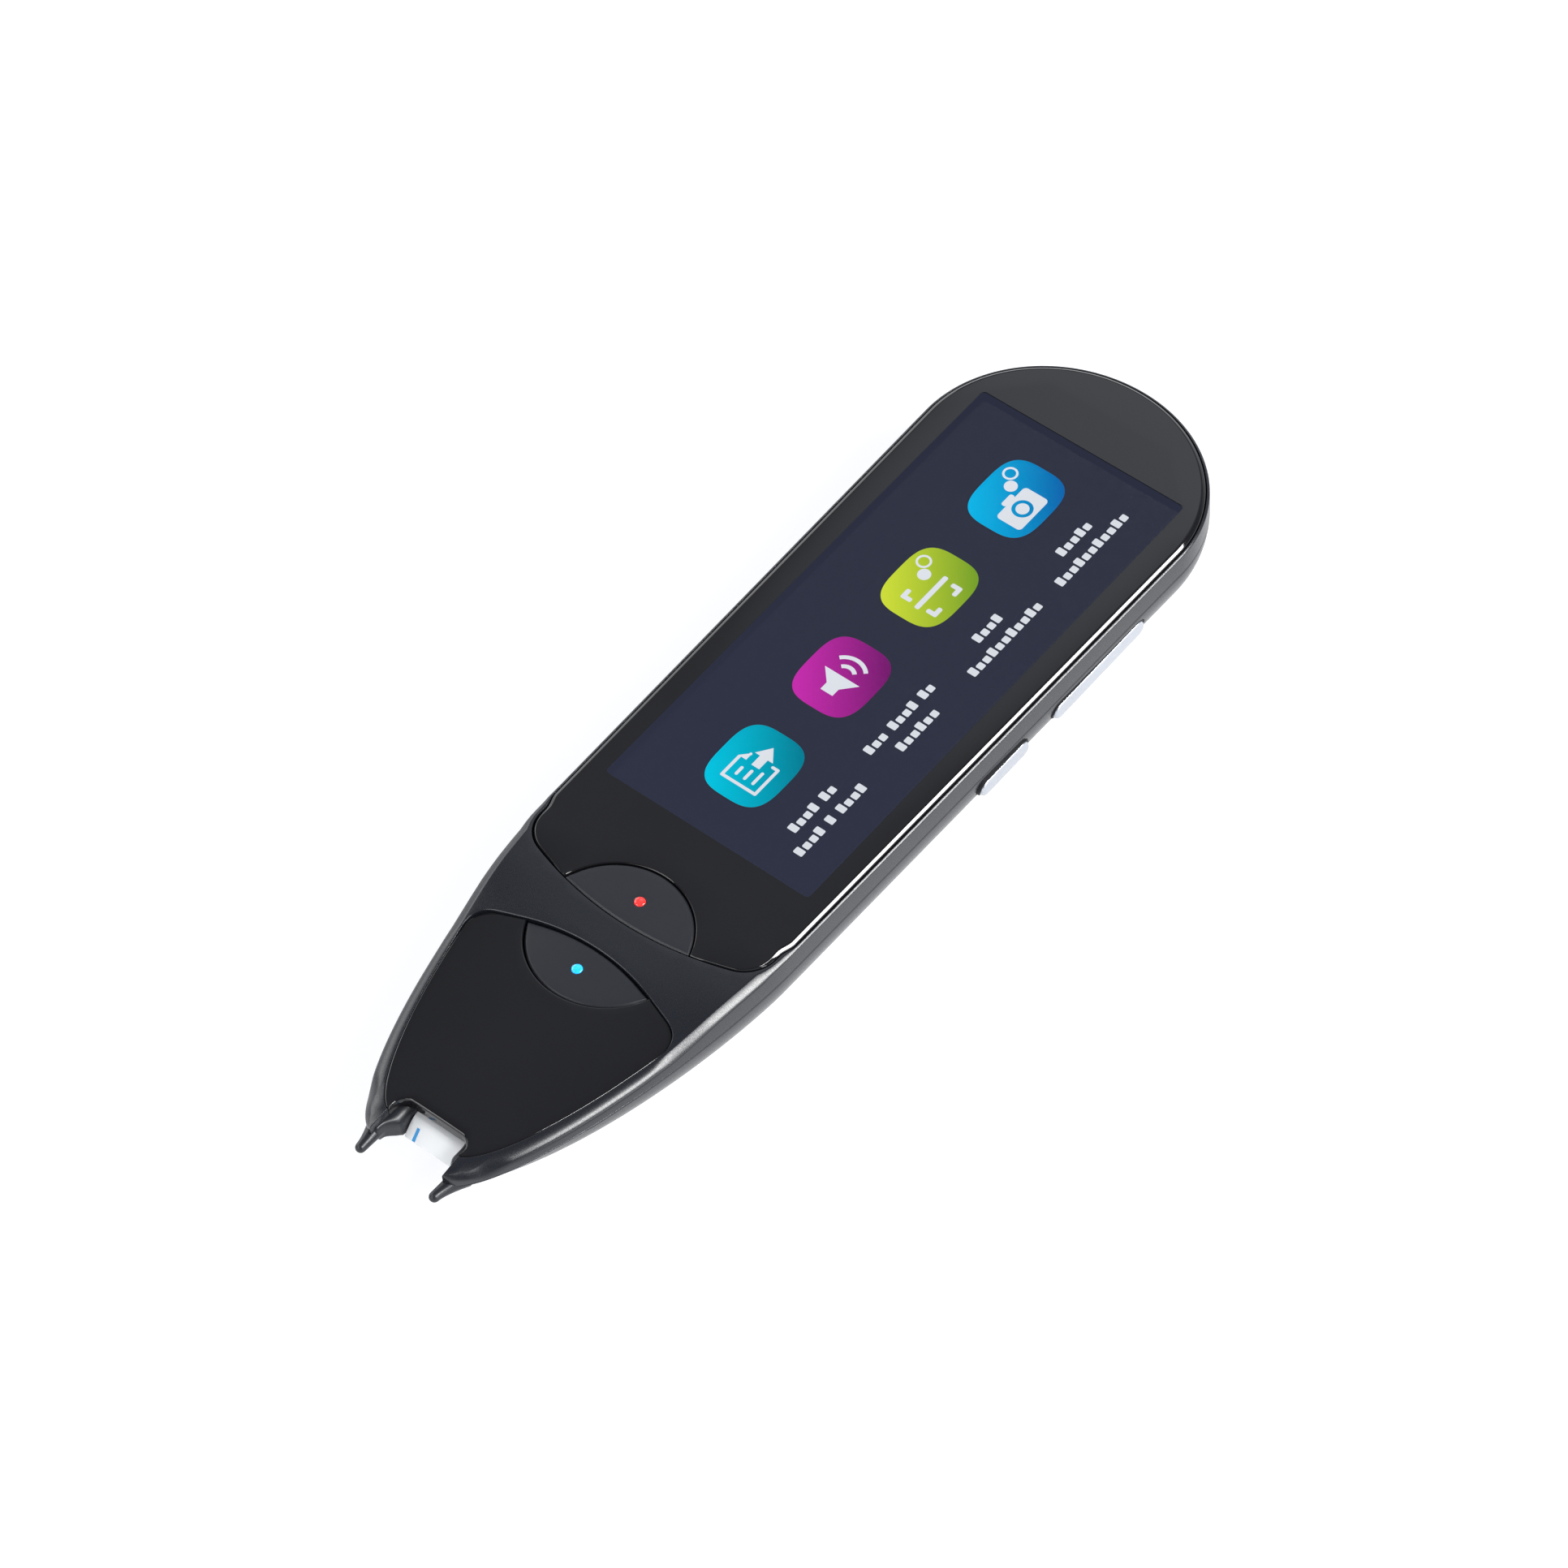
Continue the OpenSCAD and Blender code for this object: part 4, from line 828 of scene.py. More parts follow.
class PEN_OT_front_shell(bpy.types.Operator):
    """Makes the front shell: rim, neck band and the arms beside the nose panel"""
    bl_idname = "pen.front_shell"
    bl_label = "Front shell"

    mouth_play, panel_play, glass_play, seam_play = 0.06, 0.05, 0.15, 0.05
    inner_edge, glass_lip = 0.12, (0.04, 0.06)
    lobe_fall = 0.42

    def execute(self, context):
        pen, colours = PenForm(context), context.scene.pen_colours
        mouth_x = pen.mouth_w / 2 + self.mouth_play
        outer = pen.half()
        right = outer[(outer[:, 0] >= mouth_x) | (outer[:, 1] > pen.shoulder_y)]
        inner = spaced(pen.panel_side(-self.panel_play, mouth_x), 0.35)
        loop = mirror_loop(np.vstack([inner[::-1], right]))
        glass = mirror_loop(pen.glass_half(-self.glass_play))[::-1]
        is_outer = np.zeros(len(loop), bool)
        is_outer[len(inner):len(loop) - len(inner) + 1] = True
        slim = smooth(-pen.neck_y + 6.5, -pen.neck_y + 10, -loop[:, 1])

        def top(x, y):
            start = mouth_x + 0.2 + 0.47 * (y - pen.nose_y - 0.5)
            near_end = 1 - smooth(pen.nose_y + 3.5, pen.nose_y + 7, y)
            return pen.deck(x, y) - self.lobe_fall * np.maximum(0, np.abs(x) - start) * near_end

        edge = self.edge(pen, loop, glass, is_outer, slim, mouth_x)
        shape = Shape()
        shape.plate([loop, glass], top, level(pen.seam_z + self.seam_play), [edge, self.glass_lip],
                    cell=1.0, profile=lambda p: self.shoulder(slim if len(p) == len(slim) else 0.0))
        settle(shape.object("housing_front", shell_finish(colours)), "casing", "shell", "front_shell")
        return {"FINISHED"}

    def edge(self, pen, loop, glass, is_outer, slim, mouth_x):
        """Width and height of the rounding along the outline, less where the shell is narrow."""
        x, y = np.abs(loop[:, 0]), loop[:, 1]
        across = {True: np.vstack([glass, loop[~is_outer]]), False: loop[is_outer]}
        room = np.array([gap_to(across[bool(o)], p) for p, o in zip(loop, is_outer)])
        share = (0.3 + 0.6 * smooth(pen.nose_y + 1.5, pen.nose_y + 6.5, y)
                 - 0.21 * smooth(pen.neck_top_y, pen.shoulder_y, y))
        rim = pen.edge_r(y) + 0.7 * smooth(-pen.neck_y + 10, -pen.neck_y + 26, -y)
        tip = 0.03 + 0.42 * (x - mouth_x) + 3 * smooth(pen.nose_y + 3, pen.nose_y + 8, y)
        widest = np.minimum(np.minimum(rim, tip), room * share)
        width = np.where(is_outer, widest, np.minimum(self.inner_edge, room * 0.05))
        steep = 0.776 - 0.08 * smooth(-pen.neck_top_y, -pen.neck_y + 8, -y) - 0.09 * slim
        least = 0.25 + 0.25 * smooth(-pen.neck_y, -pen.neck_y + 12, -y)
        return width, np.where(is_outer, np.maximum(width * steep, least), self.inner_edge)

    @staticmethod
    def shoulder(slim):
        """Rounding with a broad sloping facet at the neck and a narrow one on the arms."""
        broad = slopes((0, 30, 0.3, 5), (30, 38, 1.15, 5), (38, 90, 0.45, 6))
        narrow = slopes((0, 8, 0.12, 3), (8, 27, 0.65, 5), (27, 35, 0.35, 4), (35, 90, 0.42, 4))
        return [(a + (c - a) * slim, b + (d - b) * slim) for (a, b), (c, d) in zip(broad, narrow)]


class PEN_OT_back_shell(bpy.types.Operator):
    """Makes the boat-shaped back shell with its openings"""
    bl_idname = "pen.back_shell"
    bl_label = "Back shell"

    seam_groove = ((0.16, 0.0), (0.05, 0.06), (0.0, 0.18))
    skirt_play, socket_play, flange_play = 0.18, 0.3, 0.05
    hole_r, grille_pitch = 0.5, 2.4
    lining_side, lining_front, lining_back = 0.45, 1.95, 2.65

    def execute(self, context):
        pen, colours = PenForm(context), context.scene.pen_colours

        def ring(angle, thick):
            z = pen.seam_z - (pen.seam_z - thick) * math.sin(angle)
            under = max(z - thick * math.sin(angle), 0)
            inset = thick + pen.back_round * (1 - math.cos(angle))
            half = pen.half(inset, pen.bow_y(under) + 2 * thick, pen.bow_tip(under) - thick)
            return at_height(mirror_loop(half), z)

        angles = np.linspace(0, HALF_PI, RING_STEPS + 1)
        rings = [ring(a, pen.wall) for a in angles[::-1]]
        for inset, drop in self.seam_groove:
            rings.append(at_height(mirror_loop(pen.half(inset, pen.nose_y + inset)), pen.seam_z - drop))
        rings += [ring(a, 0) for a in angles[1:]]
        shape = Shape()
        starts = shape.rings(rings)
        shape.cap(starts[0], rings[0], True)
        shape.cap(starts[-1], rings[-1], False)
        obj = shape.object("housing_back", shell_finish(colours))
        combine(obj, self.openings(pen), "DIFFERENCE")
        settle(obj, "casing", "shell", "back_shell")
        return {"FINISHED"}

    def openings(self, pen):
        """Everything that is cut out of the shell."""
        cut = Shape()
        gap = KEY_GAP + self.skirt_play
        for y, size in ((pen.rocker_y, pen.rocker_len), (pen.power_y, pen.power_len)):
            cut.prism(stadium(size + 2 * gap, pen.side_key_h + 2 * gap, y, pen.side_key_z),
                      pen.side_x - 5, pen.side_x + 3, "x")
        socket, mic = span("usb_socket"), span("microphone")
        cut.prism(stadium(socket.xs + self.socket_play, socket.zs + self.socket_play, 0, socket.zm),
                  socket.y0, pen.apex_y + 1, "y")
        cut.prism(disc(mic.xm, mic.zm, self.hole_r), mic.y1 - 1, pen.apex_y + 1, "y")
        y = span("speaker").ym
        for i in range(-2, 3):
            for j in range(-1, 2):
                hole = disc(i * self.grille_pitch, y + j * self.grille_pitch, self.hole_r)
                cut.prism(hole, -1, pen.wall + 1)
        wide_x, x = MOUTH_FLANGE_X + self.flange_play, pen.mouth_w / 2 + self.lining_side
        y0, y1, y2 = pen.nose_y - 2, pen.mouth_y - self.lining_front, pen.mouth_y + self.lining_back
        cut.prism([(-wide_x, y0), (wide_x, y0), (wide_x, y1), (x, y1), (x, y2), (-x, y2), (-x, y1),
                   (-wide_x, y1)], -1, pen.seam_z + 1)
        self.scan_pocket(pen, cut)
        return cut

    @staticmethod
    def scan_pocket(pen, cut, size=6.6, thick=0.9, play=0.06, rest=0.6):
        """Seat of the scanning window, tilted as the raked underside, with a smaller opening above it."""
        box = span("scan_window")
        slope = (pen.bow_z(box.ym + 0.1) - pen.bow_z(box.ym - 0.1)) / 0.2
        along = np.array([1, slope]) / math.hypot(1, slope)
        inward = np.array([-along[1], along[0]])
        a, b, top = size / 2 + play, size / 2 - rest, thick / 2 + 0.02
        right = [(a, -top - 2), (a, top), (b, top), (b, top + 4)]
        steps = [(-right[0][0], right[0][1])] + right + [(-p, q) for p, q in right[:0:-1]]
        x = box.x1 + play
        cut.prism([np.array([box.ym, box.zm]) + along * p + inward * q for p, q in steps], -x, x, "x")


class PEN_OT_cover_glass(bpy.types.Operator):
    """Makes the cover glass with its black border and clear window"""
    bl_idname = "pen.cover_glass"
    bl_label = "Cover glass"

    thick, window_spread = 0.85, 0.9
    notch_edge, low_edge = 0.16, 0.35
    facet = ((0, 1), (0.05, 0.8), (0.13, 0.66), (0.17, 0.614), (0.55, 0.166), (0.6, 0.12), (0.75, 0.03),
             (1, 0))

    def execute(self, context):
        pen, colours = PenForm(context), context.scene.pen_colours
        key = pen.upper_key_half(KEY_GAP)
        edge = key[np.argmax(key[:, 0]):]
        loop = mirror_loop(self.notched(pen.glass_half(0), edge))
        away = np.hypot(np.abs(loop[:, 0]) - edge[0][0], loop[:, 1] - edge[0][1])
        share = np.where(near_circle(loop, pen.upper_centre, pen.upper_key_r), 0, smooth(0, 4, away))
        rise = smooth(pen.neck_top_y + 4, pen.shoulder_y, loop[:, 1])
        full = self.low_edge + (pen.glass_edge - self.low_edge) * rise
        width, height = self.notch_edge + (full - self.notch_edge) * share, 0.124 + 0.376 * share
        shape = Shape()
        shape.plate([loop], level(pen.body_t), level(pen.body_t - self.thick), [(width, height)], cell=4.0,
                    lit=pen.screen_loop(0), lit_low=pen.screen_loop(self.window_spread), profile=self.facet)
        # It hardly bends light, because the lit picture under it carries the reflection without grain
        window = clear("window_glass", (0.98, 0.985, 1.0), 0.008, 1.004)
        obj = shape.object("cover_glass", gloss_finish(colours), window)
        settle(obj, "casing", "cover_glass", "front_glass")
        return {"FINISHED"}

    @staticmethod
    def notched(half, edge):
        """Glass outline with the upper key's round edge cut into its lower side."""
        first = int(np.argmax(half[:, 0] > edge[0][0] + 0.3))
        corner = [(edge[0][0], np.interp(edge[0][0], half[:first + 1, 0], half[:first + 1, 1]))]
        return np.vstack([edge[:0:-1], corner, half[first:]])


class PEN_OT_screen(bpy.types.Operator):
    """Makes the display module and its lit picture of plain tiles and lines"""
    bl_idname = "pen.screen"
    bl_label = "Screen"

    tile_w, tile_len, tile_run = 10.6, 12.4, 6.2
    tile_x = -2.4
    tile_way = (0.783, 0.622, 0.0)
    tile_places = (28.4, 9.65, -9.0, -27.15)
    tile_colours = (
        ((0, 180, 230), (0, 100, 172)),
        ((206, 222, 56), (118, 160, 38)),
        ((198, 44, 172), (116, 24, 108)),
        ((0, 196, 224), (0, 126, 148)))
    words = (((5,), (11,)), ((4,), (11,)), ((3, 4, 2), (6,)), ((4, 2), (4, 1, 4)))
    row_x, row_pitch, row_shift = 8.15, 3.0, 0.9
    ground_drop, tile_foot, tile_rise, figure_rise, word_rise = 0.02, 0.04, 0.02, 0.05, 0.03

    def execute(self, context):
        pen, colours = PenForm(context), context.scene.pen_colours
        box = span("display_panel")
        z = box.z1
        shape = Shape()
        shape.plate([rounded_loop(2 * box.x1, box.y1 - box.y0, 1.0, 0, (box.y0 + box.y1) / 2, 6)],
                    level(z - self.ground_drop), level(box.z0), [(0.15, 0.15)], cell=6.0, steps=3,
                    lit=pen.screen_loop(1.2, 0.7))
        ground = lit("screen_ground", tint(colours.screen, 1.06), tint(colours.screen, 0.94),
                     (0, 1, 0), -0.015, 0.065)
        obj = shape.object("screen_module", gloss_finish(colours), ground)
        settle(obj, "casing", "screen", "display_panel")
        figures = Shape()
        for i, (place, pair) in enumerate(zip(self.tile_places, self.tile_colours)):
            y = pen.screen_y + place
            tile = Shape()
            tile.prism(self.squircle(self.tile_x, y), z - self.tile_foot, z + self.tile_rise)
            name = f"screen_tile_{i + 1}"
            middle = self.tile_x * self.tile_way[0] + y * self.tile_way[1]
            finish = lit(name, linear(*pair[0]), linear(*pair[1]), self.tile_way,
                         (middle - self.tile_run) * MM, (middle + self.tile_run) * MM)
            settle(tile.object(name, finish), "casing", "screen")
            for loop in self.figure(i):
                figures.prism(self.on_screen(loop, y), z, z + self.figure_rise)
            for row, bars in enumerate(self.words[i]):
                for loop in self.greeked(bars, self.row_x + self.row_pitch * row, y - self.row_shift):
                    figures.prism(loop, z - self.tile_foot, z + self.word_rise)
        light = lit("screen_light", colours.light, tint(colours.light, 0.92))
        settle(figures.object("screen_figures", light), "casing", "screen")
        return {"FINISHED"}

    @staticmethod
    def greeked(bars, x, y, pitch=1.36, space=0.9):
        """Row of small plain blocks, some of them taller, that stands for words of given lengths."""
        at = y - (pitch * sum(bars) + space * (len(bars) - 1)) / 2
        loops = []
        for bar in bars:
            for k in range(bar):
                tall = 1.45 if k % 3 == 0 else 1.05
                loops.append(rounded_loop(tall, 1.0, 0.16, x + 0.55 - tall / 2, at + pitch / 2, 4))
                at += pitch
            at += space
        return loops

    def squircle(self, x, y, n=72):
        a = np.linspace(0, 2 * math.pi, n, endpoint=False)
        c, s = np.cos(a), np.sin(a)
        return np.column_stack([x + self.tile_w / 2 * np.sign(c) * np.abs(c) ** 0.6,
                                y + self.tile_len / 2 * np.sign(s) * np.abs(s) ** 0.6])

    def on_screen(self, loop, y):
        """Figure drawn upright, with its right towards the round end, put on the screen."""
        loop = np.asarray(loop, float)
        return np.column_stack([self.tile_x - loop[:, 1], y + loop[:, 0]])

    @staticmethod
    def figure(i):
        """Plain figures of a camera, a frame, a sounding speaker and a sheet with an arrow."""
        def bar(x0, y0, x1, y1, r=0.25):
            w, h = abs(x1 - x0), abs(y1 - y0)
            return rounded_loop(w, h, min(r, w / 2.1, h / 2.1), (x0 + x1) / 2, (y0 + y1) / 2, 5)

        def band(cx, cy, r, w, a0, a1):
            return np.vstack([arc(cx, cy, r + w / 2, a0, a1, 24), arc(cx, cy, r - w / 2, a1, a0, 24)])

        bubbles = [disc(1.25, 1.9, 0.95), band(2.95, 3.3, 0.95, 0.32, 0, 358)]
        if i == 0:
            x, y = -0.9, -1.75
            left = np.vstack([
                [(x, 0.3)], arc(-3.5, -0.3, 0.6, 90, 180, 8), arc(-3.5, -3.2, 0.6, 180, 270, 8), [(x, -3.8)],
                arc(x, y, 1.5, 270, 90, 24)])
            right = (left * (-1, 1) - (1.8, 0))[::-1]
            return bubbles + [left, right, disc(x, y, 0.95), bar(-2.0, 0.3, 0.2, 1.1, 0.3)]
        if i == 1:
            loops = []
            for x, y in ((-1, -1), (-1, 1), (1, -1)):
                loops += [bar(x * 3.0 - 0.6, y * 2.3 - 0.8, x * 1.3 - 0.6, y * 3.0 - 0.8),
                          bar(x * 2.3 - 0.6, y * 3.0 - 0.8, x * 3.0 - 0.6, y * 1.3 - 0.8)]
            return bubbles + loops + [bar(-3.9, -1.15, 2.7, -0.4)]
        if i == 2:
            horn = np.array([(-3.2, -1.0), (-1.9, -1.0), (0.1, -2.9), (0.1, 2.9), (-1.9, 1.0), (-3.2, 1.0)])
            return [horn, band(0.3, 0, 1.5, 0.6, -48, 48), band(0.3, 0, 3.0, 0.6, -48, 48)]
        sheet = [bar(-3.8, -3.2, -3.35, 2.8), bar(-3.8, -3.2, 1.4, -2.75), bar(-3.8, 2.35, 0.2, 2.8),
                 bar(0.95, -3.2, 1.4, -1.9), bar(0.95, 1.4, 1.4, 1.8),
                 np.array([(0.1, 2.8), (0.1, 1.5), (1.4, 1.5)])]
        lines = [bar(-2.6, -1.9, -0.2, -1.45), bar(-2.6, -0.5, -0.7, -0.05), bar(-2.6, 0.9, -1.0, 1.35)]
        arrow = np.array([(-0.1, -0.85), (1.7, -0.85), (1.7, -1.7), (3.7, -0.2), (1.7, 1.3), (1.7, 0.45),
                          (-0.1, 0.45)])
        return sheet + lines + [arrow]


class PEN_OT_nose_panel(bpy.types.Operator):
    """Makes the gloss panel over the nose with its notches for the key and the mouth"""
    bl_idname = "pen.nose_panel"
    bl_label = "Nose panel"

    def execute(self, context):
        pen, colours = PenForm(context), context.scene.pen_colours
        w, r = pen.mouth_w / 2, pen.mouth_corner
        side = spaced(pen.panel_side(0.0, w + 0.15), 0.4)
        notch = np.vstack([line((0, pen.mouth_y), (w - r, pen.mouth_y), 12)[:-1],
                           arc(w - r, pen.mouth_y - r, r, 90, 0, 14),
                           line((w, pen.mouth_y - r), (w, side[0][1]), 8)[1:]])
        key = pen.lower_key_half(KEY_GAP)
        edge = key[:np.argmax(key[:, 0]) + 1]
        body = side[~((side[:, 0] < edge[-1][0] + 0.1) & (side[:, 1] > pen.neck_y - 8))]
        loop = clean_loop(mirror_loop(np.vstack([notch, body, edge[::-1]])))
        near_key = near_circle(loop, pen.lower_centre, pen.lower_key_r)
        near_mouth = (np.abs(loop[:, 0]) < w + 0.02) & (loop[:, 1] < pen.mouth_y + 0.1)
        room = np.array([gap_to(loop[near_mouth != m], p) for p, m in zip(loop, near_mouth)])
        width = np.minimum(np.where(near_key, 0.2, np.where(near_mouth, 0.3, 0.2)), room * 0.3)
        height = np.where(near_key, 0.2, np.where(near_mouth, 0.4, 0.12))
        shape = Shape()
        shape.plate([loop], pen.panel, level(pen.panel_seat_z), [(width, height)], cell=0.9, steps=6)
        settle(shape.object("nose_cover", gloss_finish(colours)), "casing", "gloss_black", "nose_panel")
        return {"FINISHED"}


class PEN_OT_scan_mouth(bpy.types.Operator):
    """Makes the lining of the scanning mouth, its two feet, the white hood and the aim mark"""
    bl_idname = "pen.scan_mouth"
    bl_label = "Scanning mouth"

    lip_in, lip_drop = 2.4, 1.1
    lining_out, lining_side = 2.6, 0.4
    hood_drop, hood_play = 0.5, 0.1
    foot_x, foot_r = 6.15, 0.75

    def execute(self, context):
        pen, colours = PenForm(context), context.scene.pen_colours
        lip_y = pen.mouth_y - self.lip_in
        lip_z = pen.bow_z(lip_y) - self.lip_drop
        lining_y, lining_x = pen.mouth_y + self.lining_out, pen.mouth_w / 2 + self.lining_side
        seat = pen.panel_seat_z
        hood_top = pen.seam_z - self.hood_drop
        hood_x = span("light_guide").x1 + self.hood_play
        shape = Shape()
        shape.prism([(lip_y, lip_z), (lining_y, pen.bow_z(lining_y)), (lining_y, seat), (lip_y, seat)],
                    -lining_x, lining_x, "x")
        obj = shape.object("mouth_lining", moulded("mouth_plastic", colours.shell, 0.36, mottle=0.05))
        flange = Shape()
        y0, y1 = pen.nose_y + 0.8, lip_y + 0.4
        flange.prism([(y0, seat - 2.4), (y1, lip_z), (y1, seat), (y0, seat)],
                     -MOUTH_FLANGE_X, MOUTH_FLANGE_X, "x")
        combine(obj, flange, "UNION")
        combine(obj, self.funnel(pen, seat, hood_x, hood_top, lip_y), "DIFFERENCE")
        cut = Shape()
        cut.box((-hood_x, hood_x), (lip_y - 0.2, lining_y + 1), (-1, hood_top))
        combine(obj, cut, "DIFFERENCE")
        for sign in (1, -1):
            combine(obj, self.foot(pen, sign), "UNION")
        melt(obj, 0.11, 14)
        settle(obj, "casing", "shell", "nose_tip", angle=math.pi)
        self.hood(pen, colours, lip_y, lip_z, hood_top)
        return {"FINISHED"}

    @staticmethod
    def funnel(pen, seat, hood_x, hood_top, lip_y):
        """Room of the mouth: the notch above, drawn in to the hood below and wider again towards the feet."""
        r, front, back = pen.mouth_corner, pen.nose_y - 5, pen.mouth_y + 1.3

        def loop(inset, z):
            x = pen.mouth_w / 2 - inset
            y = np.linspace(back - r, front, 40)[1:]
            flare = inset * 0.8 * smooth(-lip_y - 0.3, -lip_y + 2.2, -y)
            half = np.vstack([
                line((0, back), (x - r, back), 8)[:-1], arc(x - r, back - r, r, 90, 0, 14),
                np.column_stack([x + flare, y])])
            left = half[:0:-1] * (-1, 1)
            return at_height(np.vstack([left, half])[::-1], z)

        depth, drop = pen.mouth_w / 2 - hood_x, seat - hood_top
        rings = [loop(depth, -1.0)]
        for a in np.linspace(HALF_PI, 0, 10):
            rings.append(loop(depth * math.sin(a), hood_top + drop * math.cos(a)))
        rings.append(loop(0, seat + 1))
        shape = Shape()
        starts = shape.rings(rings)
        shape.cap(starts[0], rings[0], False)
        shape.cap(starts[-1], rings[-1], True)
        return shape

    def foot(self, pen, sign, n=36):
        """Tapered horn, wide at its root and round at its tip."""
        tip_r = self.foot_r
        tip_y, tip_z = span("nose_tip").y0 + tip_r, pen.seam_z - 0.35
        root_y = pen.nose_y + 2.6
        rings = []
        a = np.linspace(0, 2 * math.pi, n, endpoint=False)
        for t in np.linspace(0, 1, 14):
            y = root_y + (tip_y - root_y) * t
            flare = (1 - t) ** 1.4
            rx, rz = tip_r + 0.85 * flare, tip_r + 0.62 * flare
            x, z = sign * (self.foot_x + 0.85 * flare), tip_z - 0.28 * (1 - t)
            rings.append([(x + rx * math.cos(k), y, z + rz * math.sin(k)) for k in a])
        for b in np.linspace(0, HALF_PI, 8)[1:-1]:
            r, y = tip_r * math.cos(b), tip_y - tip_r * math.sin(b)
            rings.append([(sign * self.foot_x + r * math.cos(k), y, tip_z + r * math.sin(k)) for k in a])
        shape = Shape()
        shape.tube(rings)
        return shape

    @staticmethod
    def hood(pen, colours, lip_y, lip_z, hood_top, thick=1.2):
        """White hood in the mouth, with the aim mark on its sloping face."""
        box = span("light_guide")
        hood_y, back_y, low_z = pen.mouth_y - 0.2, box.y1, hood_top - thick
        face = soften(np.array([(back_y, hood_top), (hood_y, hood_top), (lip_y, lip_z)]), 1, 0.9, 9)
        shape = Shape()
        shape.prism(np.vstack([face, [(lip_y + 0.7, lip_z), (hood_y + 0.9, low_z), (back_y, low_z)]]),
                    -box.x1, box.x1, "x")
        obj = shape.object("scan_hood", moulded("hood_white", colours.hood, 0.38, 3000.0, 3e-6, 0.02))
        bevel(obj, 0.15, 3, 40)
        settle(obj, "casing", "hood_white", "light_guide")
        box = span("aim_mark")
        top, run = np.array([hood_y, hood_top]), np.array([lip_y, lip_z]) - (hood_y, hood_top)
        d = run / np.linalg.norm(run)
        n = np.array([d[1], -d[0]])
        p, q = top + run * 0.34, top + run * 0.94
        shape = Shape()
        shape.prism([p - n * 0.05, q - n * 0.05, q + n * 0.04, p + n * 0.04],
                    box.x0 + 0.06, box.x1 - 0.06, "x")
        obj = shape.object("aim_line", moulded("mark_paint", colours.mark, 0.4, 5000.0, 2e-6, 0.04))
        settle(obj, "casing", "mark_blue", "aim_mark")


class PEN_OT_front_keys(bpy.types.Operator):
    """Makes the two lens-shaped front keys with their indicators"""
    bl_idname = "pen.front_keys"
    bl_label = "Front keys"

    flange_z, peg_x = 9.85, 4.5
    upper_crown, lower_sink = 0.0009, 0.28

    def execute(self, context):
        pen, colours = PenForm(context), context.scene.pen_colours
        self.key(pen, colours, "upper", "red", pen.upper_key_half(0), pen.upper_lamp_y,
                 lambda x, y: np.full(len(x), pen.body_t) - self.upper_crown * x * x)
        self.key(pen, colours, "lower", "blue", pen.lower_key_half(0), pen.lower_lamp_y,
                 lambda x, y: pen.panel(x, y) - self.lower_sink)
        return {"FINISHED"}

    def key(self, pen, colours, place, tone, half, lamp_y, top):
        """One key with two pegs under it, and its light pipe."""
        body, slot, lamp_node = f"{place}_key", f"lamp_{tone}", f"{tone}_indicator"
        low, flange_z, r = span("upper_button").z0, self.flange_z, pen.lamp_r
        loop, end = mirror_loop(half), half[np.argmax(half[:, 0])]
        width = 0.2 + 0.12 * smooth(0, 1.5, np.hypot(np.abs(loop[:, 0]) - end[0], loop[:, 1] - end[1]))
        shape = Shape()
        shape.plate([loop, arc(0, lamp_y, r + 0.03, 360, 8, 44)], top, level(flange_z),
                    [(width, width * 0.9), (0.05, 0.05)], cell=0.8,
                    profile=slopes((0, 38, 0.06, 3), (38, 46, 0.3, 3), (46, 90, 0.06, 3)))
        for x in (-self.peg_x, self.peg_x):
            shape.lathe([(0.8, low), (0.9, low + 0.1), (0.9, flange_z + 0.05)], x, lamp_y, 24)
        obj = shape.object(f"key_{place}", moulded("key_plastic", colours.keys, 0.42, grain=5200.0))
        settle(obj, body, "key_grey", f"{place}_button")
        shoulder = float(top(np.array([0.0]), np.array([lamp_y]))[0]) - 0.05
        bottom = span(lamp_node).z0
        profile = [(r + 0.4, bottom), (r + 0.45, bottom + 0.05), (r + 0.45, flange_z - 0.02), (r, flange_z),
                   (r, shoulder)]
        for a in np.linspace(0.25, HALF_PI - 0.05, 8):
            profile.append((r * math.cos(a), shoulder + 0.24 * math.sin(a)))
        dome = Shape()
        dome.lathe(profile, 0, lamp_y, 48)
        obj = dome.object(f"lamp_{body}", light_pipe(slot, getattr(colours, slot), 0.55))
        settle(obj, body, slot, lamp_node)


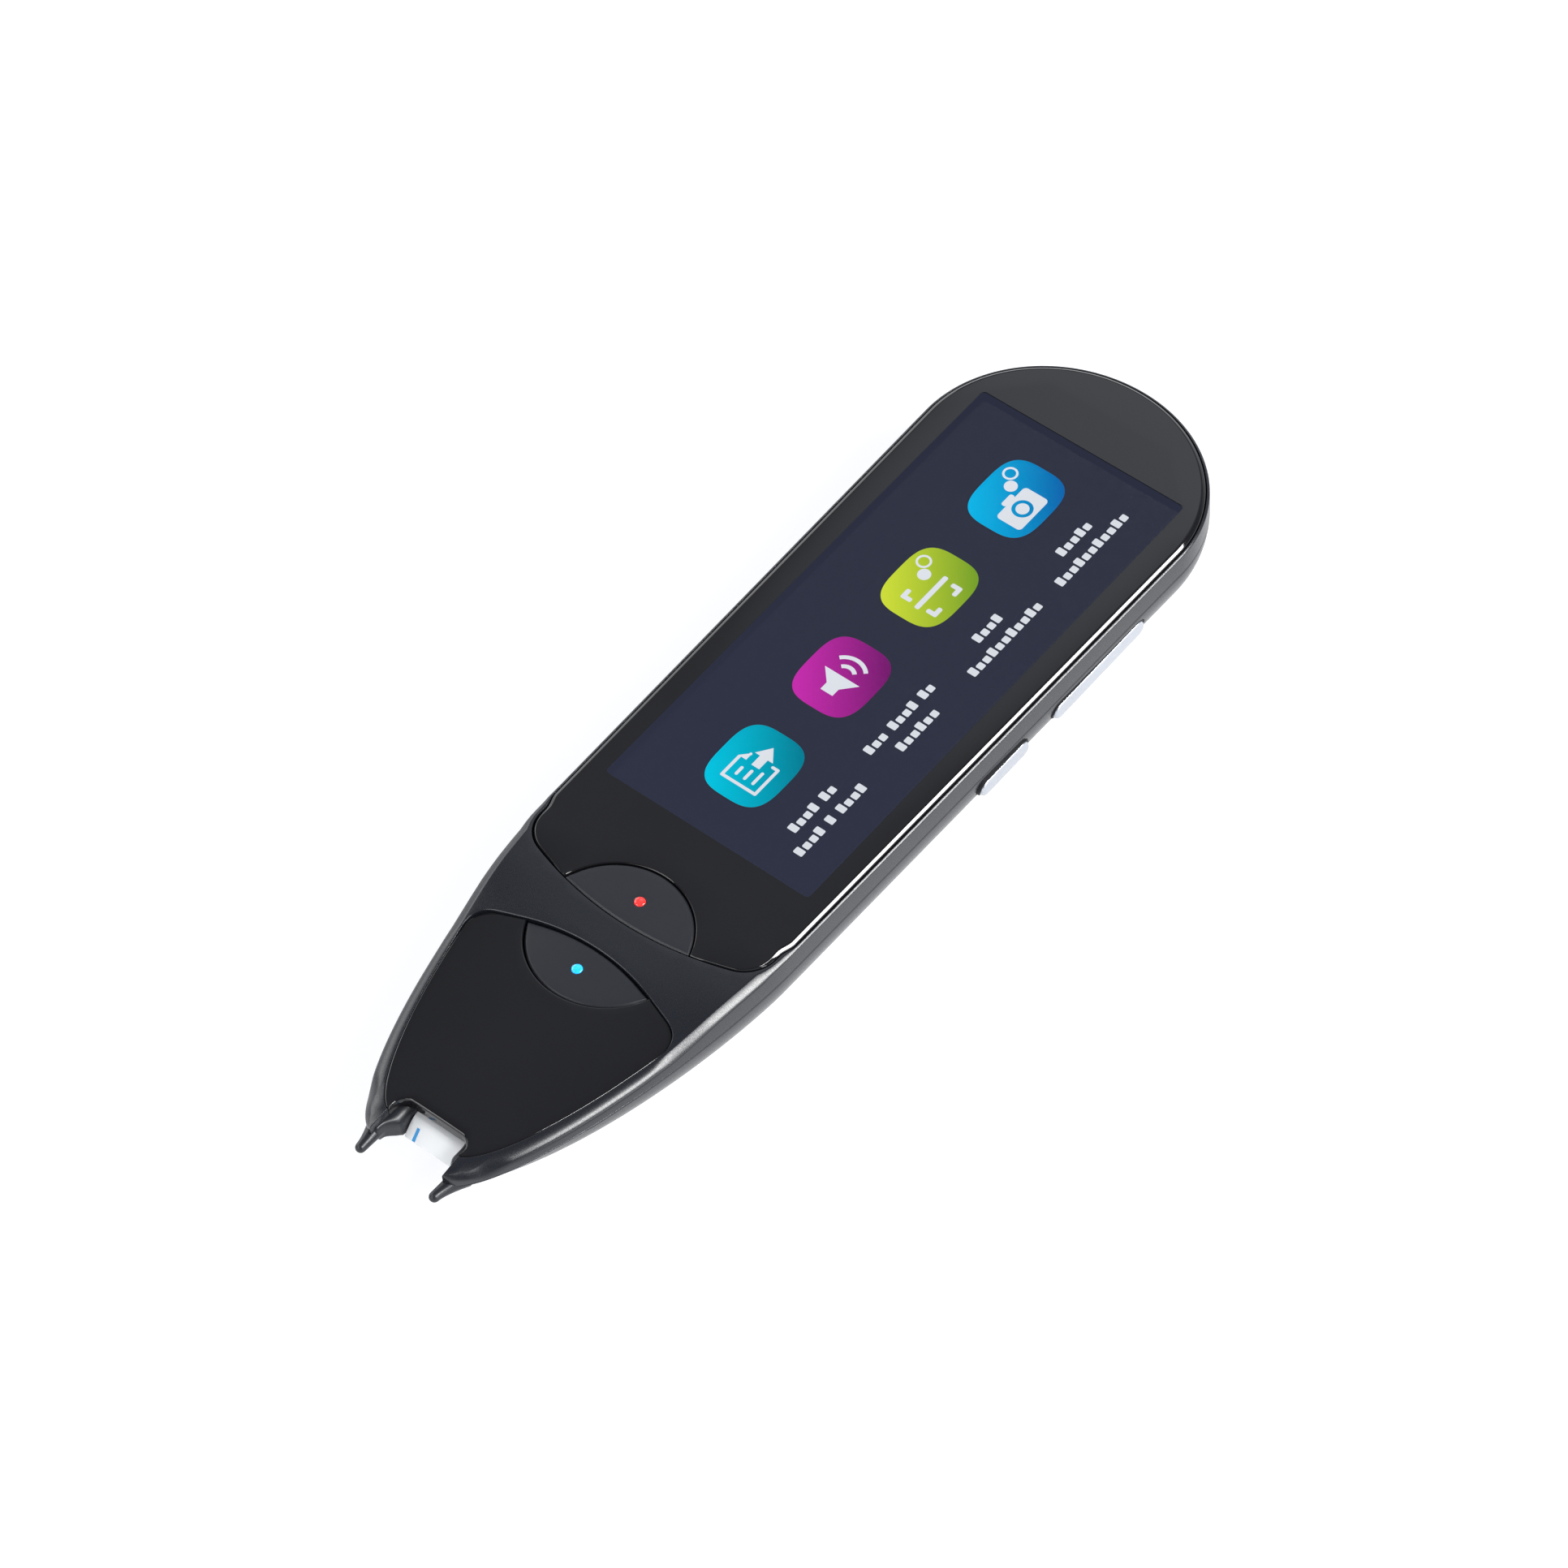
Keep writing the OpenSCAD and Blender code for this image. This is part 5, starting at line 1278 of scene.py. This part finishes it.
class PEN_OT_side_keys(bpy.types.Operator):
    """Makes the volume rocker and the power key in the right side"""
    bl_idname = "pen.side_keys"
    bl_label = "Side keys"

    depth, flange = 4.8, 0.8

    def execute(self, context):
        pen, colours = PenForm(context), context.scene.pen_colours
        finish = metal("side_silver", colours.silver, 0.28, (60.0, 60.0, 60.0), 0.85)
        # The skirt round each side key is coloured at half the shell's brightness: painted shade, so that the
        # gap round the key looks dark
        skirt_shade = moulded("key_skirt", tint(colours.shell, 0.5), 0.6)
        inner, h, z = pen.side_x - self.depth, pen.side_key_h, pen.side_key_z

        def flank(a, b):
            return pen.side_x + 0.2 - pen.back_round * (1 - np.sqrt(1 - (1 - b / pen.seam_z) ** 2))

        for name, node, body, y, size in (
                ("rocker_key", "volume_rocker", "rocker", pen.rocker_y, pen.rocker_len),
                ("power_key", "power_button", "power_key", pen.power_y, pen.power_len)):
            face = span(node).x1
            shape = Shape()
            shape.plate([stadium(size, h, y, z, 16)], lambda a, b: face - 0.06 * (b - z) ** 2,
                        level(inner + 0.7), [(0.35, 0.3)], cell=0.5)
            shape.plate([rounded_loop(size + 1.6, h + 1.2, 1.0, y, z, 6)], level(inner + self.flange),
                        level(inner), [(0.1, 0.1)], cell=2.0, steps=2)
            # This ring of side wall takes the second finish, the skirt with the painted shade
            shape.plate([stadium(size + 0.5, h + 0.5, y, z, 16)], flank, level(inner + 0.75),
                        [(0.06, 0.06)], cell=2.0, steps=2, mark=1)
            shape.sideways()
            settle(shape.object(name, finish, skirt_shade), body, "side_silver", node)
        return {"FINISHED"}


class PEN_OT_end_socket(bpy.types.Operator):
    """Makes the charging socket in the round end"""
    bl_idname = "pen.end_socket"
    bl_label = "Charging socket"

    wall, floor_y = 0.3, 0.8
    pad_pitch, pad_half = 0.55, 0.13

    def execute(self, context):
        colours = context.scene.pen_colours
        box = span("usb_socket")
        y0, y1, z = box.y0, box.y1, box.zm
        shape = Shape()
        shape.prism(stadium(box.xs, box.zs, 0, z), y0, y1, "y")
        obj = shape.object("charge_socket", metal("socket_steel", colours.steel, 0.28))
        cut = Shape()
        cut.prism(stadium(box.xs - 2 * self.wall, box.zs - 2 * self.wall, 0, z),
                  y0 + self.floor_y, y1 + 1, "y")
        combine(obj, cut, "DIFFERENCE")
        bevel(obj, 0.06, 2, 50)
        settle(obj, "casing", "steel", "usb_socket")
        tongue = Shape()
        tongue.prism(rounded_loop(6.7, 0.7, 0.2, 0, z, 4), y0 + 0.7, y1 - 1, "y")
        obj = tongue.object("socket_tongue", moulded("black_plastic", colours.black, 0.5))
        settle(obj, "casing", "black_plastic")
        pads = Shape()
        for side in (-1, 1):
            for i in range(-5, 6):
                x = i * self.pad_pitch
                pads.box((x - self.pad_half, x + self.pad_half), (y0 + 1.2, y1 - 1.3),
                         sorted((z + side * 0.33, z + side * 0.37)))
        obj = pads.object("socket_pads", metal("contact_gold", colours.gold, 0.25))
        settle(obj, "casing", "contact_gold")
        return {"FINISHED"}


class PEN_OT_scan_camera(bpy.types.Operator):
    """Gives the scanning window in the raked underside its glass"""
    bl_idname = "pen.scan_camera"
    bl_label = "Scanning window"

    def execute(self, context):
        paint("scan_window", clear("scan_glass", (0.35, 0.38, 0.42), 0.03))
        return {"FINISHED"}


class PEN_OT_inner_parts(bpy.types.Operator):
    """Gives the boards, battery, speaker and other inner solids their finishes"""
    bl_idname = "pen.inner_parts"
    bl_label = "Inner parts"

    def execute(self, context):
        colours = context.scene.pen_colours
        for finish, nodes in (
                (board("board_green", colours.board),
                 ("main_board", "charge_board", "side_board", "sensor_board", "lamp_board")),
                (metal("inner_steel", colours.steel, 0.34), ("shield_can", "board_screws", "rocker_pin")),
                (moulded("black_plastic", colours.black, 0.5), ("speaker", "scan_holder")),
                (foam("foam_tape", colours.foam), ("glass_gasket", "speaker_gasket", "battery_tape")),
                (moulded("switch_grey", colours.switch, 0.45),
                 ("key_switches", "side_switches", "indicator_leds")),
                (metal("contact_gold", colours.gold, 0.25), ("microphone",)),
                (metal("battery_foil", colours.foil, 0.4, (300.0, 300.0, 300.0), 0.7), ("battery",)),
                (striped("flex_film", colours.flex), ("link_flex",)),
                (clear("lens_glass", (0.62, 0.66, 0.86), 0.02), ("scan_lens",))):
            for node in nodes:
                paint(node, finish)
        return {"FINISHED"}


class PEN_OT_stage(bpy.types.Operator):
    """Makes the floor, the lamps, the surroundings and the camera"""
    bl_idname = "pen.stage"
    bl_label = "Stage"

    # Place, width, height and power of each lamp, and the roll of the first
    lamps = (
        ("lamp_strip", (0.82, 0.32, 0.82), 0.92, 0.20, 19.0, -23.6),
        ("lamp_soft", (0.83, 0.25, 0.90), 0.70, 0.50, 3.0),
        ("lamp_front", (-0.2, -0.9, 0.5), 0.9, 0.4, 3.6),
        ("lamp_left", (-0.9, -0.1, 0.6), 0.6, 0.6, 2.5),
        ("lamp_side", (1.1, 0.1, 0.3), 0.6, 0.3, 2.6),
        ("lamp_low", (-0.5, -0.58, 0.94), 0.3, 0.3, 2.3),
        ("lamp_behind", (-1.05, 0.33, 0.40), 0.9, 0.50, 2.6))

    def execute(self, context):
        scene = context.scene
        scene.view_settings.view_transform = "Standard"
        self.floor(scene.pen_colours)
        self.surroundings(scene)
        for lamp in self.lamps:
            self.lamp(*lamp)
        self.camera(scene)
        return {"FINISHED"}

    def floor(self, colours, s=3.0):
        mesh = bpy.data.meshes.new("floor")
        mesh.from_pydata([(-s, -s, 0), (s, -s, 0), (s, s, 0), (-s, s, 0)], [], [(0, 1, 2, 3)])
        obj = bpy.data.objects.new("floor", mesh)
        bpy.context.scene.collection.objects.link(obj)
        material = bpy.data.materials.new("floor_white")
        material.use_nodes = True
        tree = material.node_tree
        tree.nodes.clear()
        matte = add_node(tree, "BsdfDiffuse", {"Color": (*colours.floor, 1)})
        shadowed = add_node(tree, "BsdfDiffuse", {"Color": (0.3, 0.3, 0.3, 1)})
        glow = add_node(tree, "Emission", {"Color": (0.98, 0.99, 1.02, 1), "Strength": 0.8})
        both = add_node(tree, "AddShader", {0: shadowed.outputs["BSDF"], 1: glow.outputs["Emission"]})
        mix = add_node(tree, "MixShader", {
            "Fac": seen_ray(tree), 1: matte.outputs["BSDF"], 2: both.outputs["Shader"]})
        add_node(tree, "OutputMaterial", {"Surface": mix.outputs["Shader"]})
        mesh.materials.append(material)

    def surroundings(self, scene):
        """Grey room with one bright patch high up and a light band near the floor."""
        world = bpy.data.worlds.new("studio")
        scene.world = world
        world.use_nodes = True
        tree = world.node_tree
        tree.nodes.clear()
        place = add_node(tree, "TexCoord").outputs["Generated"]
        bright = Vector((-0.36, 0.62, 0.70)).normalized()
        near = add_node(tree, "VectorMath", {0: place, 1: bright}, operation="DOT_PRODUCT").outputs["Value"]
        height = add_node(tree, "SeparateXYZ", {"Vector": place}).outputs["Z"]
        strength = spread(tree, near, 0.16, 0.40, 0.85, 0.9765)
        for more in (spread(tree, near, 0.0, 0.8, 0.9765, 0.991),
                     spread(tree, height, 0.84, 0.0, 0.10, 0.40)):
            strength = add_node(tree, "Math", {0: strength, 1: more}, operation="ADD").outputs["Value"]
        soft = add_node(tree, "Background", {"Color": (0.92, 0.96, 1.02, 1), "Strength": strength})
        add_node(tree, "OutputWorld", {"Surface": soft.outputs["Background"]})

    def lamp(self, name, place, w, h, power, roll=0.0):
        data = bpy.data.lights.new(name, "AREA")
        data.shape, data.size, data.size_y, data.energy = "RECTANGLE", w, h, power
        obj = bpy.data.objects.new(name, data)
        obj.location = place
        obj.rotation_mode = "QUATERNION"
        aim = (-Vector(place)).to_track_quat("-Z", "Y")
        obj.rotation_quaternion = aim @ Quaternion((0, 0, 1), math.radians(roll))
        bpy.context.scene.collection.objects.link(obj)

    def camera(self, scene):
        data = bpy.data.cameras.new("camera")
        data.sensor_width, data.lens = 36.0, 149.07
        data.clip_start, data.clip_end = 0.05, 20.0
        obj = bpy.data.objects.new("camera", data)
        right = Vector((0.77553, 0.62889, -0.05527))
        up = Vector((-0.48064, 0.64492, 0.59419))
        back = Vector((0.40932, -0.43424, 0.80243))
        turn = Matrix((right, up, back)).transposed().to_4x4()
        obj.matrix_world = Matrix.Translation((0.34767, -0.36879, 0.6886)) @ turn
        scene.collection.objects.link(obj)
        scene.camera = obj


def seen_ray(tree):
    """One for rays from the camera, a mirror or glass, and nothing for the rest."""
    path = add_node(tree, "LightPath").outputs
    value = path["Is Camera Ray"]
    for other in ("Is Glossy Ray", "Is Transmission Ray"):
        value = add_node(tree, "Math", {0: value, 1: path[other]}, operation="MAXIMUM").outputs["Value"]
    return value


STEPS = (
    PEN_OT_front_shell, PEN_OT_back_shell, PEN_OT_cover_glass, PEN_OT_screen, PEN_OT_nose_panel,
    PEN_OT_scan_mouth, PEN_OT_front_keys, PEN_OT_side_keys, PEN_OT_end_socket, PEN_OT_scan_camera,
    PEN_OT_inner_parts, PEN_OT_stage)


class PEN_PT_panel(bpy.types.Panel):
    """Lists the pen's pieces, sizes and colours"""
    bl_idname = "PEN_PT_panel"
    bl_label = "Scanning pen"
    bl_space_type = "VIEW_3D"
    bl_region_type = "UI"
    bl_category = "Pen"

    def draw(self, context):
        for step in STEPS:
            self.layout.operator(step.bl_idname)
        for group in (context.scene.pen_sizes, context.scene.pen_colours):
            box = self.layout.box()
            for key in group.__annotations__:
                box.prop(group, key)


CLASSES = (PenSizes, PenColours, *STEPS, PEN_PT_panel)


def register():
    for cls in CLASSES:
        bpy.utils.register_class(cls)
    bpy.types.Scene.pen_sizes = bpy.props.PointerProperty(type=PenSizes)
    bpy.types.Scene.pen_colours = bpy.props.PointerProperty(type=PenColours)


def unregister():
    del bpy.types.Scene.pen_colours
    del bpy.types.Scene.pen_sizes
    for cls in reversed(CLASSES):
        bpy.utils.unregister_class(cls)


def main():
    register()
    for step in STEPS:
        group, name = step.bl_idname.split(".")
        getattr(getattr(bpy.ops, group), name)()


if __name__ == "__main__":
    main()
